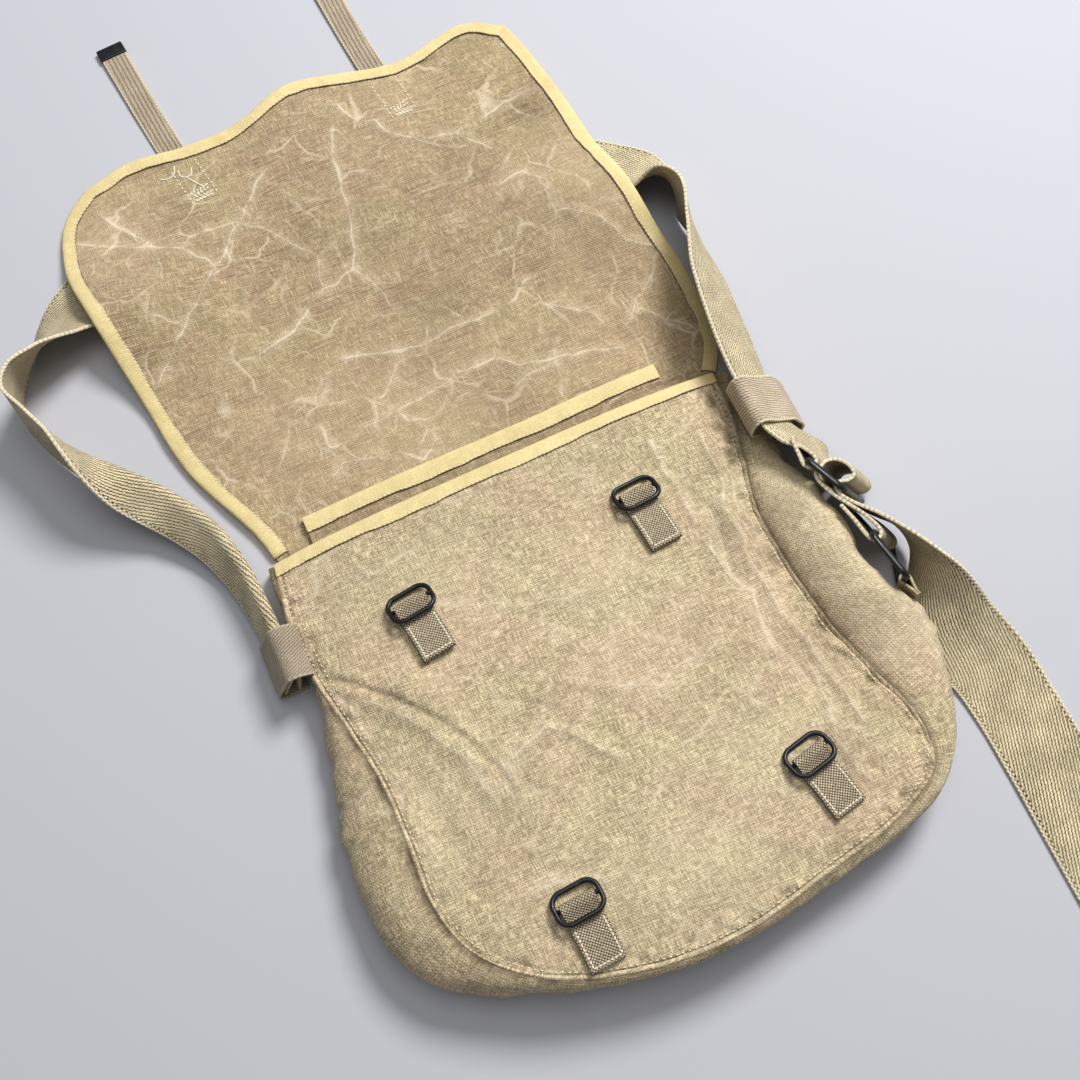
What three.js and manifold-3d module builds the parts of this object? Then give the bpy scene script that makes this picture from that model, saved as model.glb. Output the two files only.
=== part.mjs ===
// Military shoulder bag of faded canvas, lying on its back with the flap thrown open, in millimetres.
// X is the right side seen from above, Y runs from the bag's bottom to its flap and Z is up.
// The origin is the middle of the back panel's underside, on the surface that the bag lies on.

import * as THREE from 'three';
import createManifold from 'manifold-3d';

const solids = await createManifold();
solids.setup();

// Thicknesses and clearances
const canvas = 1.4;
const narrowWebbing = 1.6;
const strapWebbing = 2;
const tape = 0.8;
const gap = 0.35;
const tapeGap = 0.7;

// Widths of the webbing and the tape
const strapWidth = 50;
const narrowWidth = 20;
const tapeWidth = 9;

// Wire of the small slides on the front, and of the strap's slide and ring, with the strap's play in them
const slideWire = 3.2;
const slideBar = 2.6;
const slidePitch = 7.6;
const strapWire = 4;
const strapSlidePitch = 13;
const ringPitch = 15;
const wireSides = 6;
const strapHardwareHeight = 31;
const strapPlay = 2.5;

// Grid of the cloth: steps between two rows of the seam table, and steps over the walls
const sideSteps = 2;
const bottomSteps = 3;
const gussetSteps = 7;
const flapSteps = 16;
const webbingSteps = 2;
const keeperSteps = 2;
const loopSides = 8;

const up = new THREE.Vector3(0, 0, 1);

function table(columns, rows) {
  return rows.map((row) => Object.fromEntries(columns.map((column, k) => [column, row[k]])));
}

// Seam sections from the mouth's left end, down the left side, along the bottom and up the right side.
// The gusset leaves the front seam, swells outward by bulge, is raised by lift and ends at the back seam.
const seamRows = table(['frontX', 'frontY', 'frontZ', 'backX', 'backY', 'bulge', 'lift'], [
  [-146, 115, 15, -143, 120, 4, 0],
  [-150, 80, 20, -146, 80, 3, 0],
  [-149, 44, 23, -146, 44, 2, 0],
  [-142, 8, 26, -146, 6, 13, 2],
  [-136, -26, 30, -147, -30, 22, 3],
  [-135, -64, 34, -148, -68, 26, 4],
  [-135, -98, 37, -146, -102, 25, 4],
  [-126, -126, 38, -130, -126, 19, 3],
  [-98, -153, 38, -100, -145, 10, 1],
  [-50, -171, 38, -52, -158, 7, 0],
  [0, -176, 38, 0, -162, 7, 0],
  [55, -168, 38, 55, -158, 8, 0],
  [110, -156, 38, 106, -146, 12, 1],
  [136, -141, 37, 130, -128, 15, 3],
  [141, -113, 36, 146, -102, 27, 7],
  [133, -84, 34, 148, -78, 37, 17],
  [124, -44, 31, 147, -46, 23, 30],
  [121, 26, 26, 146, 22, 21, 27],
  [130, 60, 22, 146, 56, 13, 9],
  [138, 90, 19, 144, 90, 15, 3],
  [141, 120, 15, 143, 120, 8, 0],
]);
const leftCorner = 7;
const rightCorner = 13;
const mouthBow = 2;
const mouthRise = 6;
const frontBelly = 4;

// Soft folds of the front, as ridges from one point to another
const frontFolds = table(['fromX', 'fromY', 'toX', 'toY', 'width', 'height'], [
  [-140, 30, -102, 13, 11, 3.5],
  [-102, 13, -72, -67, 12, 4],
  [-118, -40, -112, -100, 9, -3],
  [102, 62, 100, -20, 10, 3],
  [104, -10, 116, -100, 11, -3.5],
  [-30, -150, 40, -140, 16, 2],
]);

// Side edges of the flap from the hinge to the far corners, and its wavy far edge
const flapSides = table(['leftX', 'leftY', 'rightX', 'rightY'], [
  [-143, 120, 143, 120],
  [-148, 141, 158, 148],
  [-172, 198, 161, 196],
  [-181, 250, 153, 232],
  [-189, 302, 147, 276],
  [-196, 358, 147, 344],
  [-187, 392, 141, 388],
  [-168, 410, 134, 416],
]);
const flapFarEdge = table(['x', 'y'], [
  [-168, 410],
  [-135, 419],
  [-98, 416],
  [-60, 418],
  [-20, 431],
  [12, 427],
  [58, 421],
  [108, 429],
  [134, 416],
]);
const hingeY = 120;
const flapHeight = 4.4;
const flapEdgeRise = 3;
const flapEdgeRun = 8;
const flapEdgeFrom = 125;
const flapEdgeFull = 144;
const flapRampStart = 152;
const flapRampLength = 60;

// Places where the flap is raised, two of them by the strap below it
const flapHumps = table(['x', 'y', 'reachX', 'reachY', 'height'], [
  [-190, 308, 60, 36, 25],
  [150, 261, 85, 44, 25.5],
  [-20, 425, 46, 46, 5],
  [112, 415, 40, 40, 4],
  [-60, 250, 60, 60, 2],
  [60, 200, 50, 50, 2],
]);

// Flat divided pocket on the back panel
const pocketCloth = 1.2;
const pocketLeft = -121;
const pocketRight = 114;
const pocketDivision = 22;
const pocketTopLeft = 140;
const pocketTopRight = 145;
const pocketBottom = -5;
const pocketHeight = 4.1;
const pocketPuff = 1.8;
const pocketColumns = 14;
const pocketRowCount = 6;

// Buckle tabs on the front: the place of the slide's middle bar and of the tab's sewn end
const tabRows = table(['name', 'barX', 'barY', 'endX', 'endY'], [
  ['upper_left', -83, 56, -79, 23],
  ['upper_right', 60, 64, 63, 29],
  ['lower_left', -67, -127, -65, -161],
  ['lower_right', 76, -110, 83, -144],
]);

// Closing straps on the flap's far edge, from the sewn end to the metal tip
const closingRoutes = {
  left: table(['x', 'y', 'z'], [
    [-100, 384, 1.8], [-106, 418, 1], [-111, 455, 1.1], [-115, 490, 1.6], [-118, 516, 1.9],
  ]),
  right: table(['x', 'y', 'z'], [
    [44, 391, 2.8], [40, 425, 1.9], [37, 460, 1.2], [35, 496, 1.6], [34, 524, 1.9],
  ]),
};
const tipLength = 9;
const tipWall = 0.7;
const tipSlot = 2.3;
const tipPlay = 1;

// Shoulder strap: middle of the webbing, and the lean of its lower and upper half in degrees.
// A lean of -90 stands on edge, and an upper half that leans past its lower half lies folded over it.
const strapRows = table(['x', 'y', 'z', 'low', 'high'], [
  [-157, 45, 27, -80, -250],
  [-157, 62, 27, -80, -250],
  [-158, 92, 26.5, -78, -246],
  [-161, 122, 25.5, -74, -238],
  [-168, 150, 24.5, -68, -224],
  [-182, 176, 24, -62, -208],
  [-199, 198, 24.5, -62, -176],
  [-217, 217, 25, -66, -128],
  [-233, 235, 26, -75, -93],
  [-245, 254, 26, -84, -84],
  [-250, 270, 26, -86, -86],
  [-244, 286, 25.5, -80, -80],
  [-230, 299, 23.5, -64, -64],
  [-214, 313, 17, -38, -38],
  [-195, 328, 8.6, -14, -14],
  [-176, 339, 3.8, -5, -5],
  [-145, 346, 1.3, 0, 0],
  [-85, 348, 1.3, 0, 0],
  [-25, 343, 1.3, 0, 0],
  [35, 333, 1.3, 0, 0],
  [90, 316, 1.3, 0, 0],
  [127, 300, 3.4, -4, -4],
  [149, 285, 7.6, -13, -13],
  [165, 272, 12, -22, -22],
  [175, 256, 22, -57, -57],
  [174.5, 234, 27, -84, -84],
  [172.5, 209, 27, -70, -70],
  [167, 176, 27, -56, -52],
  [163, 148, 27, -54, -48],
  [161, 120, 27.5, -58, -42],
  [161, 104, 28, -63, -38],
  [162, 68, 28.3, -63, -38],
  [162.4, 55, 29.6, -74, -56],
  [162.7, 45, 31, -87, -82],
]);

// Plan of the strap's slide and of the ring, each on edge before it leans
const strapSlidePlan = { x: 164, y: 24, alongX: 0.38, alongY: -0.925 };
const ringPlan = { x: 171, y: -32, alongX: 0, alongY: -1 };

// Lean of the strap's hardware: its top comes a little toward the bag and down, and its foot swings outward.
// The lean fades out toward the keeper and down the tail.
const leanAngle = THREE.MathUtils.degToRad(28);
const leanTop = { z: 56, inward: 6, lower: 4 };
const leanFromX = 100;
const leanFades = { keeperFull: 48, keeperEnd: 72, tailFull: -18, tailEnd: -75 };
function leanOver(geometry) {
  const place = geometry.getAttribute('position');
  const { smoothstep } = THREE.MathUtils;
  for (let k = 0; k < place.count; k++) {
    const [x, y, z] = [place.getX(k), place.getY(k), place.getZ(k)];
    if (x < leanFromX) continue;
    const share = (1 - smoothstep(y, leanFades.keeperFull, leanFades.keeperEnd))
      * smoothstep(y, leanFades.tailEnd, leanFades.tailFull);
    const down = leanTop.z - z;
    place.setX(k, x + share * (Math.sin(leanAngle) * down - leanTop.inward));
    place.setZ(k, z + share * ((1 - Math.cos(leanAngle)) * down - leanTop.lower));
  }
  geometry.computeVertexNormals();
  return geometry;
}

// Points round a bar, from one bearing to another in degrees
function roundBar(bar, radius, { from, to }) {
  const steps = 4;
  return Array.from({ length: steps + 1 }, (_, k) => {
    const angle = THREE.MathUtils.degToRad(from + ((to - from) * k) / steps);
    return { x: bar.x + radius * Math.cos(angle), y: bar.y + radius * Math.sin(angle) };
  });
}
const wrapRadius = 4.2;
const strapWrap = { from: 22, to: -158 };
const tailWrap = { from: 180, to: 360 };
const firstBar = {
  x: strapSlidePlan.x - strapSlidePitch * strapSlidePlan.alongX,
  y: strapSlidePlan.y - strapSlidePitch * strapSlidePlan.alongY,
};
const ringBar = { x: ringPlan.x, y: ringPlan.y + ringPitch };

// Fold of the strap round the slide's first bar, then back along itself
const strapEndRows = [
  ...roundBar(firstBar, wrapRadius, strapWrap),
  ...table(['x', 'y'], [[155.6, 41], [156.6, 53]]),
];

// Tail strap on edge: folded round the ring, up behind the slide, out over its middle bar and back under it
const tailFoldRows = [
  ...table(['x', 'y'], [[162.4, 5], [165, -6]]),
  ...roundBar(ringBar, wrapRadius, tailWrap),
  ...table(['x', 'y'], [
    [172, -6], [167, 3], [162.8, 10], [159.6, 17.5], [158, 23.5], [158.9, 27.7], [162.3, 29.2],
    [167.5, 31.5], [173.5, 30], [178, 24.5], [178.3, 18], [173.5, 16.2], [168, 17.6], [165.1, 15.6],
    [165.2, 11], [168.3, 5.5], [173.5, -1], [180.5, -9.5],
  ]),
];

// Free tail, which turns from standing on edge to lying flat
const tailRows = table(['x', 'y', 'z', 'lean'], [
  [186, -25, 29, 80],
  [188, -48, 21.5, 56],
  [195, -78, 12.2, 24],
  [205, -105, 4.6, 7],
  [208, -130, 1.3, 0],
  [208.5, -160, 1.3, 0],
  [208, -200, 1.3, 0],
  [207.5, -236, 1.3, 0],
  [207.5, -264, 1.3, 0],
]);

// Webbing keepers in the plane across the strap, from the gusset's top over the strap and under it
const keeperLength = 32;
const keeperRoutes = {
  left: {
    middleY: 60,
    rows: table(['x', 'z'], [
      [-147, 24.6], [-151, 28.8], [-156.5, 31.9], [-161.2, 30.6], [-165.4, 21], [-169.8, 11], [-170.7, 6.3],
      [-168, 2.2], [-162, 0.9], [-154, 0.9],
    ]),
  },
  right: {
    middleY: 85,
    rows: table(['x', 'z'], [
      [145, 24], [140.6, 26.4], [138.2, 31.5], [138, 39], [139.6, 45], [143.8, 46.6], [153, 38.8],
      [162.4, 31.6], [167.5, 27.4], [173, 18.5], [178.8, 6.8], [177.6, 2.1], [172, 0.9], [160, 0.9],
    ]),
  },
};

// Canvas tab that ties the ring to the gusset
const ringTabHeight = 36;
const ringTabLength = 11;
const ringTabFlat = 7.7;
const ringTabHeading = { x: 0.12, y: -0.99 };

// Materials
function material(color, roughness, metalness = 0) {
  return () => new THREE.MeshStandardMaterial({ color, roughness, metalness });
}
const frontCanvas = material(0x9c8f73, 0.95);
const flapCanvas = material(0x8e7c62, 0.95);
const strawTape = material(0xd8c583, 0.9);
const narrowTan = material(0x84755d, 0.95);
const strapTan = material(0xa2957c, 0.95);
const blackEnamel = material(0x14161a, 0.35, 0.6);

const bag = new THREE.Group();
bag.name = 'military_shoulder_bag';

function addPiece(name, geometry, makeMaterial) {
  const mesh = new THREE.Mesh(geometry, makeMaterial());
  mesh.name = name;
  bag.add(mesh);
  return mesh;
}

function meshGeometry(points, faces) {
  const geometry = new THREE.BufferGeometry().setFromPoints(points);
  geometry.setIndex(faces);
  return facingOut(geometry);
}

// Reverses the faces of a closed geometry whose volume comes out negative
function facingOut(geometry) {
  const place = geometry.getAttribute('position');
  const faces = Array.from(geometry.getIndex().array);
  const corner = (k) => new THREE.Vector3().fromBufferAttribute(place, faces[k]);
  let volume = 0;
  for (let k = 0; k < faces.length; k += 3) {
    volume += corner(k).dot(corner(k + 1).cross(corner(k + 2)));
  }
  if (volume < 0) {
    faces.reverse();
    geometry.setIndex(faces);
  }
  geometry.computeVertexNormals();
  return geometry;
}

// Closed cloth wall round a grid of middle points, with its thickness along the given direction
function wall(columns, rows, middle, thickness, direction) {
  const grid = [];
  for (let j = 0; j <= rows; j++) {
    for (let i = 0; i <= columns; i++) grid.push(middle(i, j));
  }
  const at = (i, j) => j * (columns + 1) + i;
  const acrossWall = (i, j) => {
    const alongColumns = grid[at(Math.min(i + 1, columns), j)].clone().sub(grid[at(Math.max(i - 1, 0), j)]);
    const alongRows = grid[at(i, Math.min(j + 1, rows))].clone().sub(grid[at(i, Math.max(j - 1, 0))]);
    return alongColumns.cross(alongRows).normalize();
  };
  const points = [];
  for (const side of [0.5, -0.5]) {
    for (let j = 0; j <= rows; j++) {
      for (let i = 0; i <= columns; i++) {
        const normal = (direction && direction(i, j)) || acrossWall(i, j);
        points.push(grid[at(i, j)].clone().addScaledVector(normal, side * thickness));
      }
    }
  }
  const faces = [];
  const quad = (a, b, c, d) => faces.push(a, b, c, a, c, d);
  const below = grid.length;
  for (let j = 0; j < rows; j++) {
    for (let i = 0; i < columns; i++) {
      quad(at(i, j), at(i + 1, j), at(i + 1, j + 1), at(i, j + 1));
      quad(below + at(i, j + 1), below + at(i + 1, j + 1), below + at(i + 1, j), below + at(i, j));
    }
  }
  const rim = [];
  for (let i = 0; i < columns; i++) rim.push(at(i, 0));
  for (let j = 0; j < rows; j++) rim.push(at(columns, j));
  for (let i = columns; i > 0; i--) rim.push(at(i, rows));
  for (let j = rows; j > 0; j--) rim.push(at(0, j));
  rim.forEach((a, k) => {
    const b = rim[(k + 1) % rim.length];
    quad(below + a, below + b, b, a);
  });
  return meshGeometry(points, faces);
}

// Smooth curve through rows, read by row number
function through(points) {
  const curve = new THREE.CatmullRomCurve3(points);
  return (row) => curve.getPoint(Math.min(Math.max(row / (points.length - 1), 0), 1));
}

// Surface between four edges, each a function of 0 to 1
function patch(left, right, near, far) {
  return (u, v) => new THREE.Vector3()
    .addScaledVector(near(u), 1 - v)
    .addScaledVector(far(u), v)
    .addScaledVector(left(v), 1 - u)
    .addScaledVector(right(v), u)
    .addScaledVector(near(0), -(1 - u) * (1 - v))
    .addScaledVector(near(1), -u * (1 - v))
    .addScaledVector(far(0), -(1 - u) * v)
    .addScaledVector(far(1), -u * v);
}

const lastSeamRow = seamRows.length - 1;
const sideCount = leftCorner * sideSteps;
const bottomCount = (rightCorner - leftCorner) * bottomSteps;
const frontSeam = through(seamRows.map((row) => new THREE.Vector3(row.frontX, row.frontY, row.frontZ)));
const backSeam = through(seamRows.map((row) => new THREE.Vector3(row.backX, row.backY, canvas / 2)));
const swelling = through(seamRows.map((row) => new THREE.Vector3(row.bulge, row.lift, 0)));

// Edges of a panel that follow a seam: both sides from the mouth down, and the bottom from left to right
function seamEdges(seam) {
  return {
    left: (v) => seam(v * leftCorner),
    right: (v) => seam(lastSeamRow - v * (lastSeamRow - rightCorner)),
    bottom: (u) => seam(leftCorner + u * (rightCorner - leftCorner)),
  };
}

function ridge(x, y, fold) {
  const from = new THREE.Vector2(fold.fromX, fold.fromY);
  const run = new THREE.Vector2(fold.toX, fold.toY).sub(from);
  const offset = new THREE.Vector2(x, y).sub(from);
  const along = Math.min(Math.max(offset.dot(run) / run.lengthSq(), 0), 1);
  const distance = offset.sub(run.multiplyScalar(along)).length();
  return fold.height * Math.exp(-((distance / fold.width) ** 2));
}

// Front panel
const frontEdges = seamEdges(frontSeam);
function mouthEdge(u) {
  const point = frontEdges.left(0).lerp(frontEdges.right(0), u);
  const inward = 1 - (2 * u - 1) ** 4;
  point.y += mouthBow * inward;
  point.z += mouthRise * inward;
  return point;
}
const frontPatch = patch(frontEdges.left, frontEdges.right, mouthEdge, frontEdges.bottom);
function frontPoint(i, j) {
  const u = i / bottomCount;
  const v = j / sideCount;
  const point = frontPatch(u, v);
  const inside = 16 * u * (1 - u) * v * (1 - v);
  const folds = frontFolds.reduce((sum, fold) => sum + ridge(point.x, point.y, fold), 0);
  point.z += frontBelly * inside + folds * Math.min(2 * inside, 1);
  return point;
}
const frontPanel = addPiece(
  'front_panel',
  wall(bottomCount, sideCount, frontPoint, canvas, () => up),
  frontCanvas,
);

// Gusset, which follows the front seam and swells outward between the two seams
const gussetCount = 2 * sideCount + bottomCount;
function seamRowAt(i) {
  if (i <= sideCount) return i / sideSteps;
  if (i <= sideCount + bottomCount) return leftCorner + (i - sideCount) / bottomSteps;
  return rightCorner + (i - sideCount - bottomCount) / sideSteps;
}
function outwardOf(seam, i) {
  const ahead = seam(seamRowAt(Math.min(i + 1, gussetCount)));
  const behind = seam(seamRowAt(Math.max(i - 1, 0)));
  const run = ahead.sub(behind);
  return new THREE.Vector3(run.y, -run.x, 0).normalize();
}
function gussetPoint(i, j) {
  const row = seamRowAt(i);
  const turn = (Math.PI * j) / gussetSteps;
  const outward = outwardOf(frontSeam, i);
  const from = frontSeam(row).addScaledVector(outward, gap);
  const to = backSeam(row).addScaledVector(outwardOf(backSeam, i), gap);
  const swell = swelling(row);
  return from.lerp(to, (1 - Math.cos(turn)) / 2)
    .addScaledVector(outward, swell.x * Math.sin(turn))
    .addScaledVector(up, swell.y * Math.sin(turn));
}
function gussetRim(i, j) {
  if (j === 0) return new THREE.Vector3(0, 0, -1);
  return j === gussetSteps ? up : null;
}
addPiece('gusset', wall(gussetCount, gussetSteps, gussetPoint, canvas, gussetRim), frontCanvas);

// Back panel and flap in one cloth: flat under the bag, loose beyond the hinge
const backEdges = seamEdges(backSeam);
const hinge = (u) => backEdges.left(0).lerp(backEdges.right(0), u);
const backPatch = patch(
  (v) => backEdges.left(1 - v),
  (v) => backEdges.right(1 - v),
  backEdges.bottom,
  hinge,
);
const lastFlapRow = flapSides.length - 1;
const flapLeft = through(flapSides.map((row) => new THREE.Vector3(row.leftX, row.leftY, 0)));
const flapRight = through(flapSides.map((row) => new THREE.Vector3(row.rightX, row.rightY, 0)));
const flapFar = through(flapFarEdge.map((row) => new THREE.Vector3(row.x, row.y, 0)));
const flapPatch = patch(
  (v) => flapLeft(v * lastFlapRow),
  (v) => flapRight(v * lastFlapRow),
  hinge,
  (u) => flapFar(u * (flapFarEdge.length - 1)),
);
function flapLevel(x, y) {
  const ramp = THREE.MathUtils.smoothstep(y, flapRampStart, flapRampStart + flapRampLength);
  const humps = flapHumps.reduce((sum, hump) => {
    const distance = Math.hypot((x - hump.x) / hump.reachX, (y - hump.y) / hump.reachY);
    return sum + hump.height * Math.exp(-distance * distance);
  }, 0);
  const edge = THREE.MathUtils.smoothstep(Math.abs(x), flapEdgeFrom, flapEdgeFull);
  const edgeRise = flapEdgeRise * edge * THREE.MathUtils.smoothstep(y, hingeY, hingeY + flapEdgeRun);
  return canvas / 2 + Math.max((flapHeight - canvas / 2 + humps) * ramp, edgeRise);
}
function backFlapPoint(i, j) {
  const u = i / bottomCount;
  if (j <= sideCount) return backPatch(u, j / sideCount).setZ(canvas / 2);
  const point = flapPatch(u, (j - sideCount) / flapSteps);
  return point.setZ(flapLevel(point.x, point.y));
}
const backFlapRows = sideCount + flapSteps;
addPiece('back_flap', wall(bottomCount, backFlapRows, backFlapPoint, canvas, () => up), flapCanvas);

// Tape folded round the edge of a cloth wall, from stations with a point on the edge and one inside it
function binding(stations, thickness) {
  const inner = thickness / 2 + tapeGap;
  const outer = inner + tape;
  const points = [];
  for (const { edge, inside } of stations) {
    const outward = edge.clone().sub(inside).normalize();
    const leg = edge.clone().addScaledVector(outward, -tapeWidth);
    const slot = edge.clone().addScaledVector(outward, gap);
    const back = edge.clone().addScaledVector(outward, gap + tape);
    const place = (point, height) => points.push(point.clone().addScaledVector(up, height));
    place(leg, outer);
    place(back, outer);
    place(back, -outer);
    place(leg, -outer);
    place(leg, -inner);
    place(slot, -inner);
    place(slot, inner);
    place(leg, inner);
  }
  const ring = 8;
  const faces = [];
  const quad = (a, b, c, d) => faces.push(a, b, c, a, c, d);
  for (let s = 0; s + 1 < stations.length; s++) {
    for (let k = 0; k < ring; k++) {
      const next = (k + 1) % ring;
      quad(s * ring + k, s * ring + next, (s + 1) * ring + next, (s + 1) * ring + k);
    }
  }
  const last = (stations.length - 1) * ring;
  for (const [a, b, c, d] of [[0, 1, 6, 7], [1, 2, 5, 6], [2, 3, 4, 5]]) {
    quad(d, c, b, a);
    quad(last + a, last + b, last + c, last + d);
  }
  return meshGeometry(points, faces);
}

// Mouth binding along the front's upper edge
const mouthStations = [];
for (let i = 0; i <= bottomCount; i++) {
  mouthStations.push({ edge: frontPoint(i, 0), inside: frontPoint(i, 1) });
}
addPiece('mouth_binding', binding(mouthStations, canvas), strawTape);

// Flap binding up the left edge, along the far edge and down the right edge
const flapStations = [];
function addFlapStation(i, j, insideI, insideJ) {
  flapStations.push({ edge: backFlapPoint(i, j), inside: backFlapPoint(insideI, insideJ) });
}
for (let j = sideCount + 1; j < backFlapRows; j++) addFlapStation(0, j, 1, j);
for (let i = 0; i <= bottomCount; i++) {
  const insideI = Math.min(Math.max(i, 1), bottomCount - 1);
  addFlapStation(i, backFlapRows, insideI, backFlapRows - 1);
}
for (let j = backFlapRows - 1; j > sideCount; j--) addFlapStation(bottomCount, j, bottomCount - 1, j);
addPiece('flap_binding', binding(flapStations, canvas), strawTape);

// Divided pocket, a little puffed between its sewn rows, with a bound top edge
function pocketPoint(i, j) {
  const x = THREE.MathUtils.lerp(pocketLeft, pocketRight, i / pocketColumns);
  const top = THREE.MathUtils.lerp(pocketTopLeft, pocketTopRight, i / pocketColumns);
  const y = THREE.MathUtils.lerp(top, pocketBottom, j / pocketRowCount);
  const [from, to] = x < pocketDivision ? [pocketLeft, pocketDivision] : [pocketDivision, pocketRight];
  const puff = Math.sin((Math.PI * (x - from)) / (to - from)) ** 2 * (1 - j / pocketRowCount);
  return new THREE.Vector3(x, y, pocketHeight + pocketPuff * puff);
}
addPiece(
  'inner_pocket',
  wall(pocketColumns, pocketRowCount, pocketPoint, pocketCloth, () => up),
  flapCanvas,
);
const pocketStations = [];
for (let i = 0; i <= pocketColumns; i++) {
  pocketStations.push({ edge: pocketPoint(i, 0), inside: pocketPoint(i, 1) });
}
addPiece('pocket_binding', binding(pocketStations, pocketCloth), strawTape);

// Union and difference of closed geometries
function solidOf(geometry) {
  const place = geometry.getAttribute('position');
  const index = geometry.getIndex();
  const mesh = new solids.Mesh({
    numProp: 3,
    vertProperties: new Float32Array(place.array),
    triVerts: index ? new Uint32Array(index.array) : Uint32Array.from({ length: place.count }, (_, k) => k),
  });
  mesh.merge();
  return new solids.Manifold(mesh);
}
function geometryOf(solid) {
  const mesh = solid.getMesh();
  const geometry = new THREE.BufferGeometry();
  geometry.setAttribute('position', new THREE.BufferAttribute(new Float32Array(mesh.vertProperties), 3));
  geometry.setIndex(Array.from(mesh.triVerts));
  geometry.computeVertexNormals();
  return geometry;
}

// Wire bent to a rounded rectangle in the X and Y plane, closed on itself
function wireLoop(lengthX, lengthY, corner, wire) {
  const cornerSteps = 3;
  const stations = [];
  for (let quarter = 0; quarter < 4; quarter++) {
    const signX = quarter === 0 || quarter === 3 ? 1 : -1;
    const signY = quarter < 2 ? 1 : -1;
    for (let step = 0; step <= cornerSteps; step++) {
      const angle = ((quarter + step / cornerSteps) * Math.PI) / 2;
      const outward = new THREE.Vector3(Math.cos(angle), Math.sin(angle), 0);
      const middle = new THREE.Vector3(signX * (lengthX / 2 - corner), signY * (lengthY / 2 - corner), 0);
      stations.push({ middle: middle.addScaledVector(outward, corner), outward });
    }
  }
  const points = [];
  for (const { middle, outward } of stations) {
    for (let k = 0; k < wireSides; k++) {
      const angle = (2 * Math.PI * (k + 0.5)) / wireSides;
      points.push(middle.clone()
        .addScaledVector(outward, (Math.cos(angle) * wire) / 2)
        .addScaledVector(up, (Math.sin(angle) * wire) / 2));
    }
  }
  const faces = [];
  const at = (s, k) => (s % stations.length) * wireSides + (k % wireSides);
  for (let s = 0; s < stations.length; s++) {
    for (let k = 0; k < wireSides; k++) {
      faces.push(at(s, k), at(s + 1, k), at(s + 1, k + 1), at(s, k), at(s + 1, k + 1), at(s, k + 1));
    }
  }
  return meshGeometry(points, faces);
}

// Slide with a middle bar along X, joined to the bent wire
function slideGeometry(lengthX, pitch, corner, wire, bar) {
  const middleBar = new THREE.CylinderGeometry(bar / 2, bar / 2, lengthX, wireSides);
  middleBar.rotateZ(Math.PI / 2);
  return geometryOf(solidOf(wireLoop(lengthX, 2 * pitch, corner, wire)).add(solidOf(middleBar)));
}

// Loop of webbing round a bar: profile of two layers that part before the bar, from bearings round it
const loopParts = 0.3 * Math.PI;
const loopMeets = 1.6 * Math.PI;
function loopProfile({ length, layer, barRadius, barHeight, flatFrom }) {
  const inner = barRadius + gap;
  const outer = inner + layer;
  const shape = new THREE.Shape();
  shape.moveTo(length, 0);
  shape.lineTo(flatFrom, 0);
  shape.absarc(0, barHeight, outer, -Math.PI / 2, loopParts - 2 * Math.PI, true);
  shape.lineTo(flatFrom, 2 * layer);
  shape.lineTo(length, 2 * layer);
  shape.closePath();
  const hole = new THREE.Path();
  hole.absarc(0, barHeight, inner, loopParts, loopMeets, false);
  hole.lineTo(inner + layer, barHeight);
  hole.closePath();
  shape.holes.push(hole);
  return shape;
}

function heightOn(mesh, x, y) {
  const above = 200;
  const ray = new THREE.Raycaster(new THREE.Vector3(x, y, above), new THREE.Vector3(0, 0, -1));
  return ray.intersectObject(mesh)[0].point;
}

// Frame that lies on the front at a tab: X across, Y toward the slide's upper bar, Z off the cloth.
// It is raised clear of the cloth at spots along and across the tab and its slide.
const spotsAlong = [-0.35, 0, 0.35, 0.7, 1];
const spotsAcross = [-0.65, 0, 0.65];
function frontFrame(row, length) {
  const bar = heightOn(frontPanel, row.barX, row.barY);
  const end = heightOn(frontPanel, row.endX, row.endY);
  const toBar = bar.clone().sub(end).normalize();
  const sideways = new THREE.Vector3(toBar.y, -toBar.x, 0).setLength(narrowWidth / 2);
  const right = heightOn(frontPanel, bar.x + sideways.x, bar.y + sideways.y);
  const left = heightOn(frontPanel, bar.x - sideways.x, bar.y - sideways.y);
  const off = right.sub(left).normalize().cross(toBar).normalize();
  const across = toBar.clone().cross(off);
  let raise = 0;
  for (const alongShare of spotsAlong) {
    for (const acrossShare of spotsAcross) {
      const spot = bar.clone()
        .addScaledVector(toBar, -alongShare * length)
        .addScaledVector(across, acrossShare * narrowWidth);
      raise = Math.max(raise, heightOn(frontPanel, spot.x, spot.y).sub(bar).dot(off));
    }
  }
  const frame = new THREE.Matrix4().makeBasis(across, toBar, off);
  return frame.setPosition(bar.addScaledVector(off, raise + gap));
}

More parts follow.
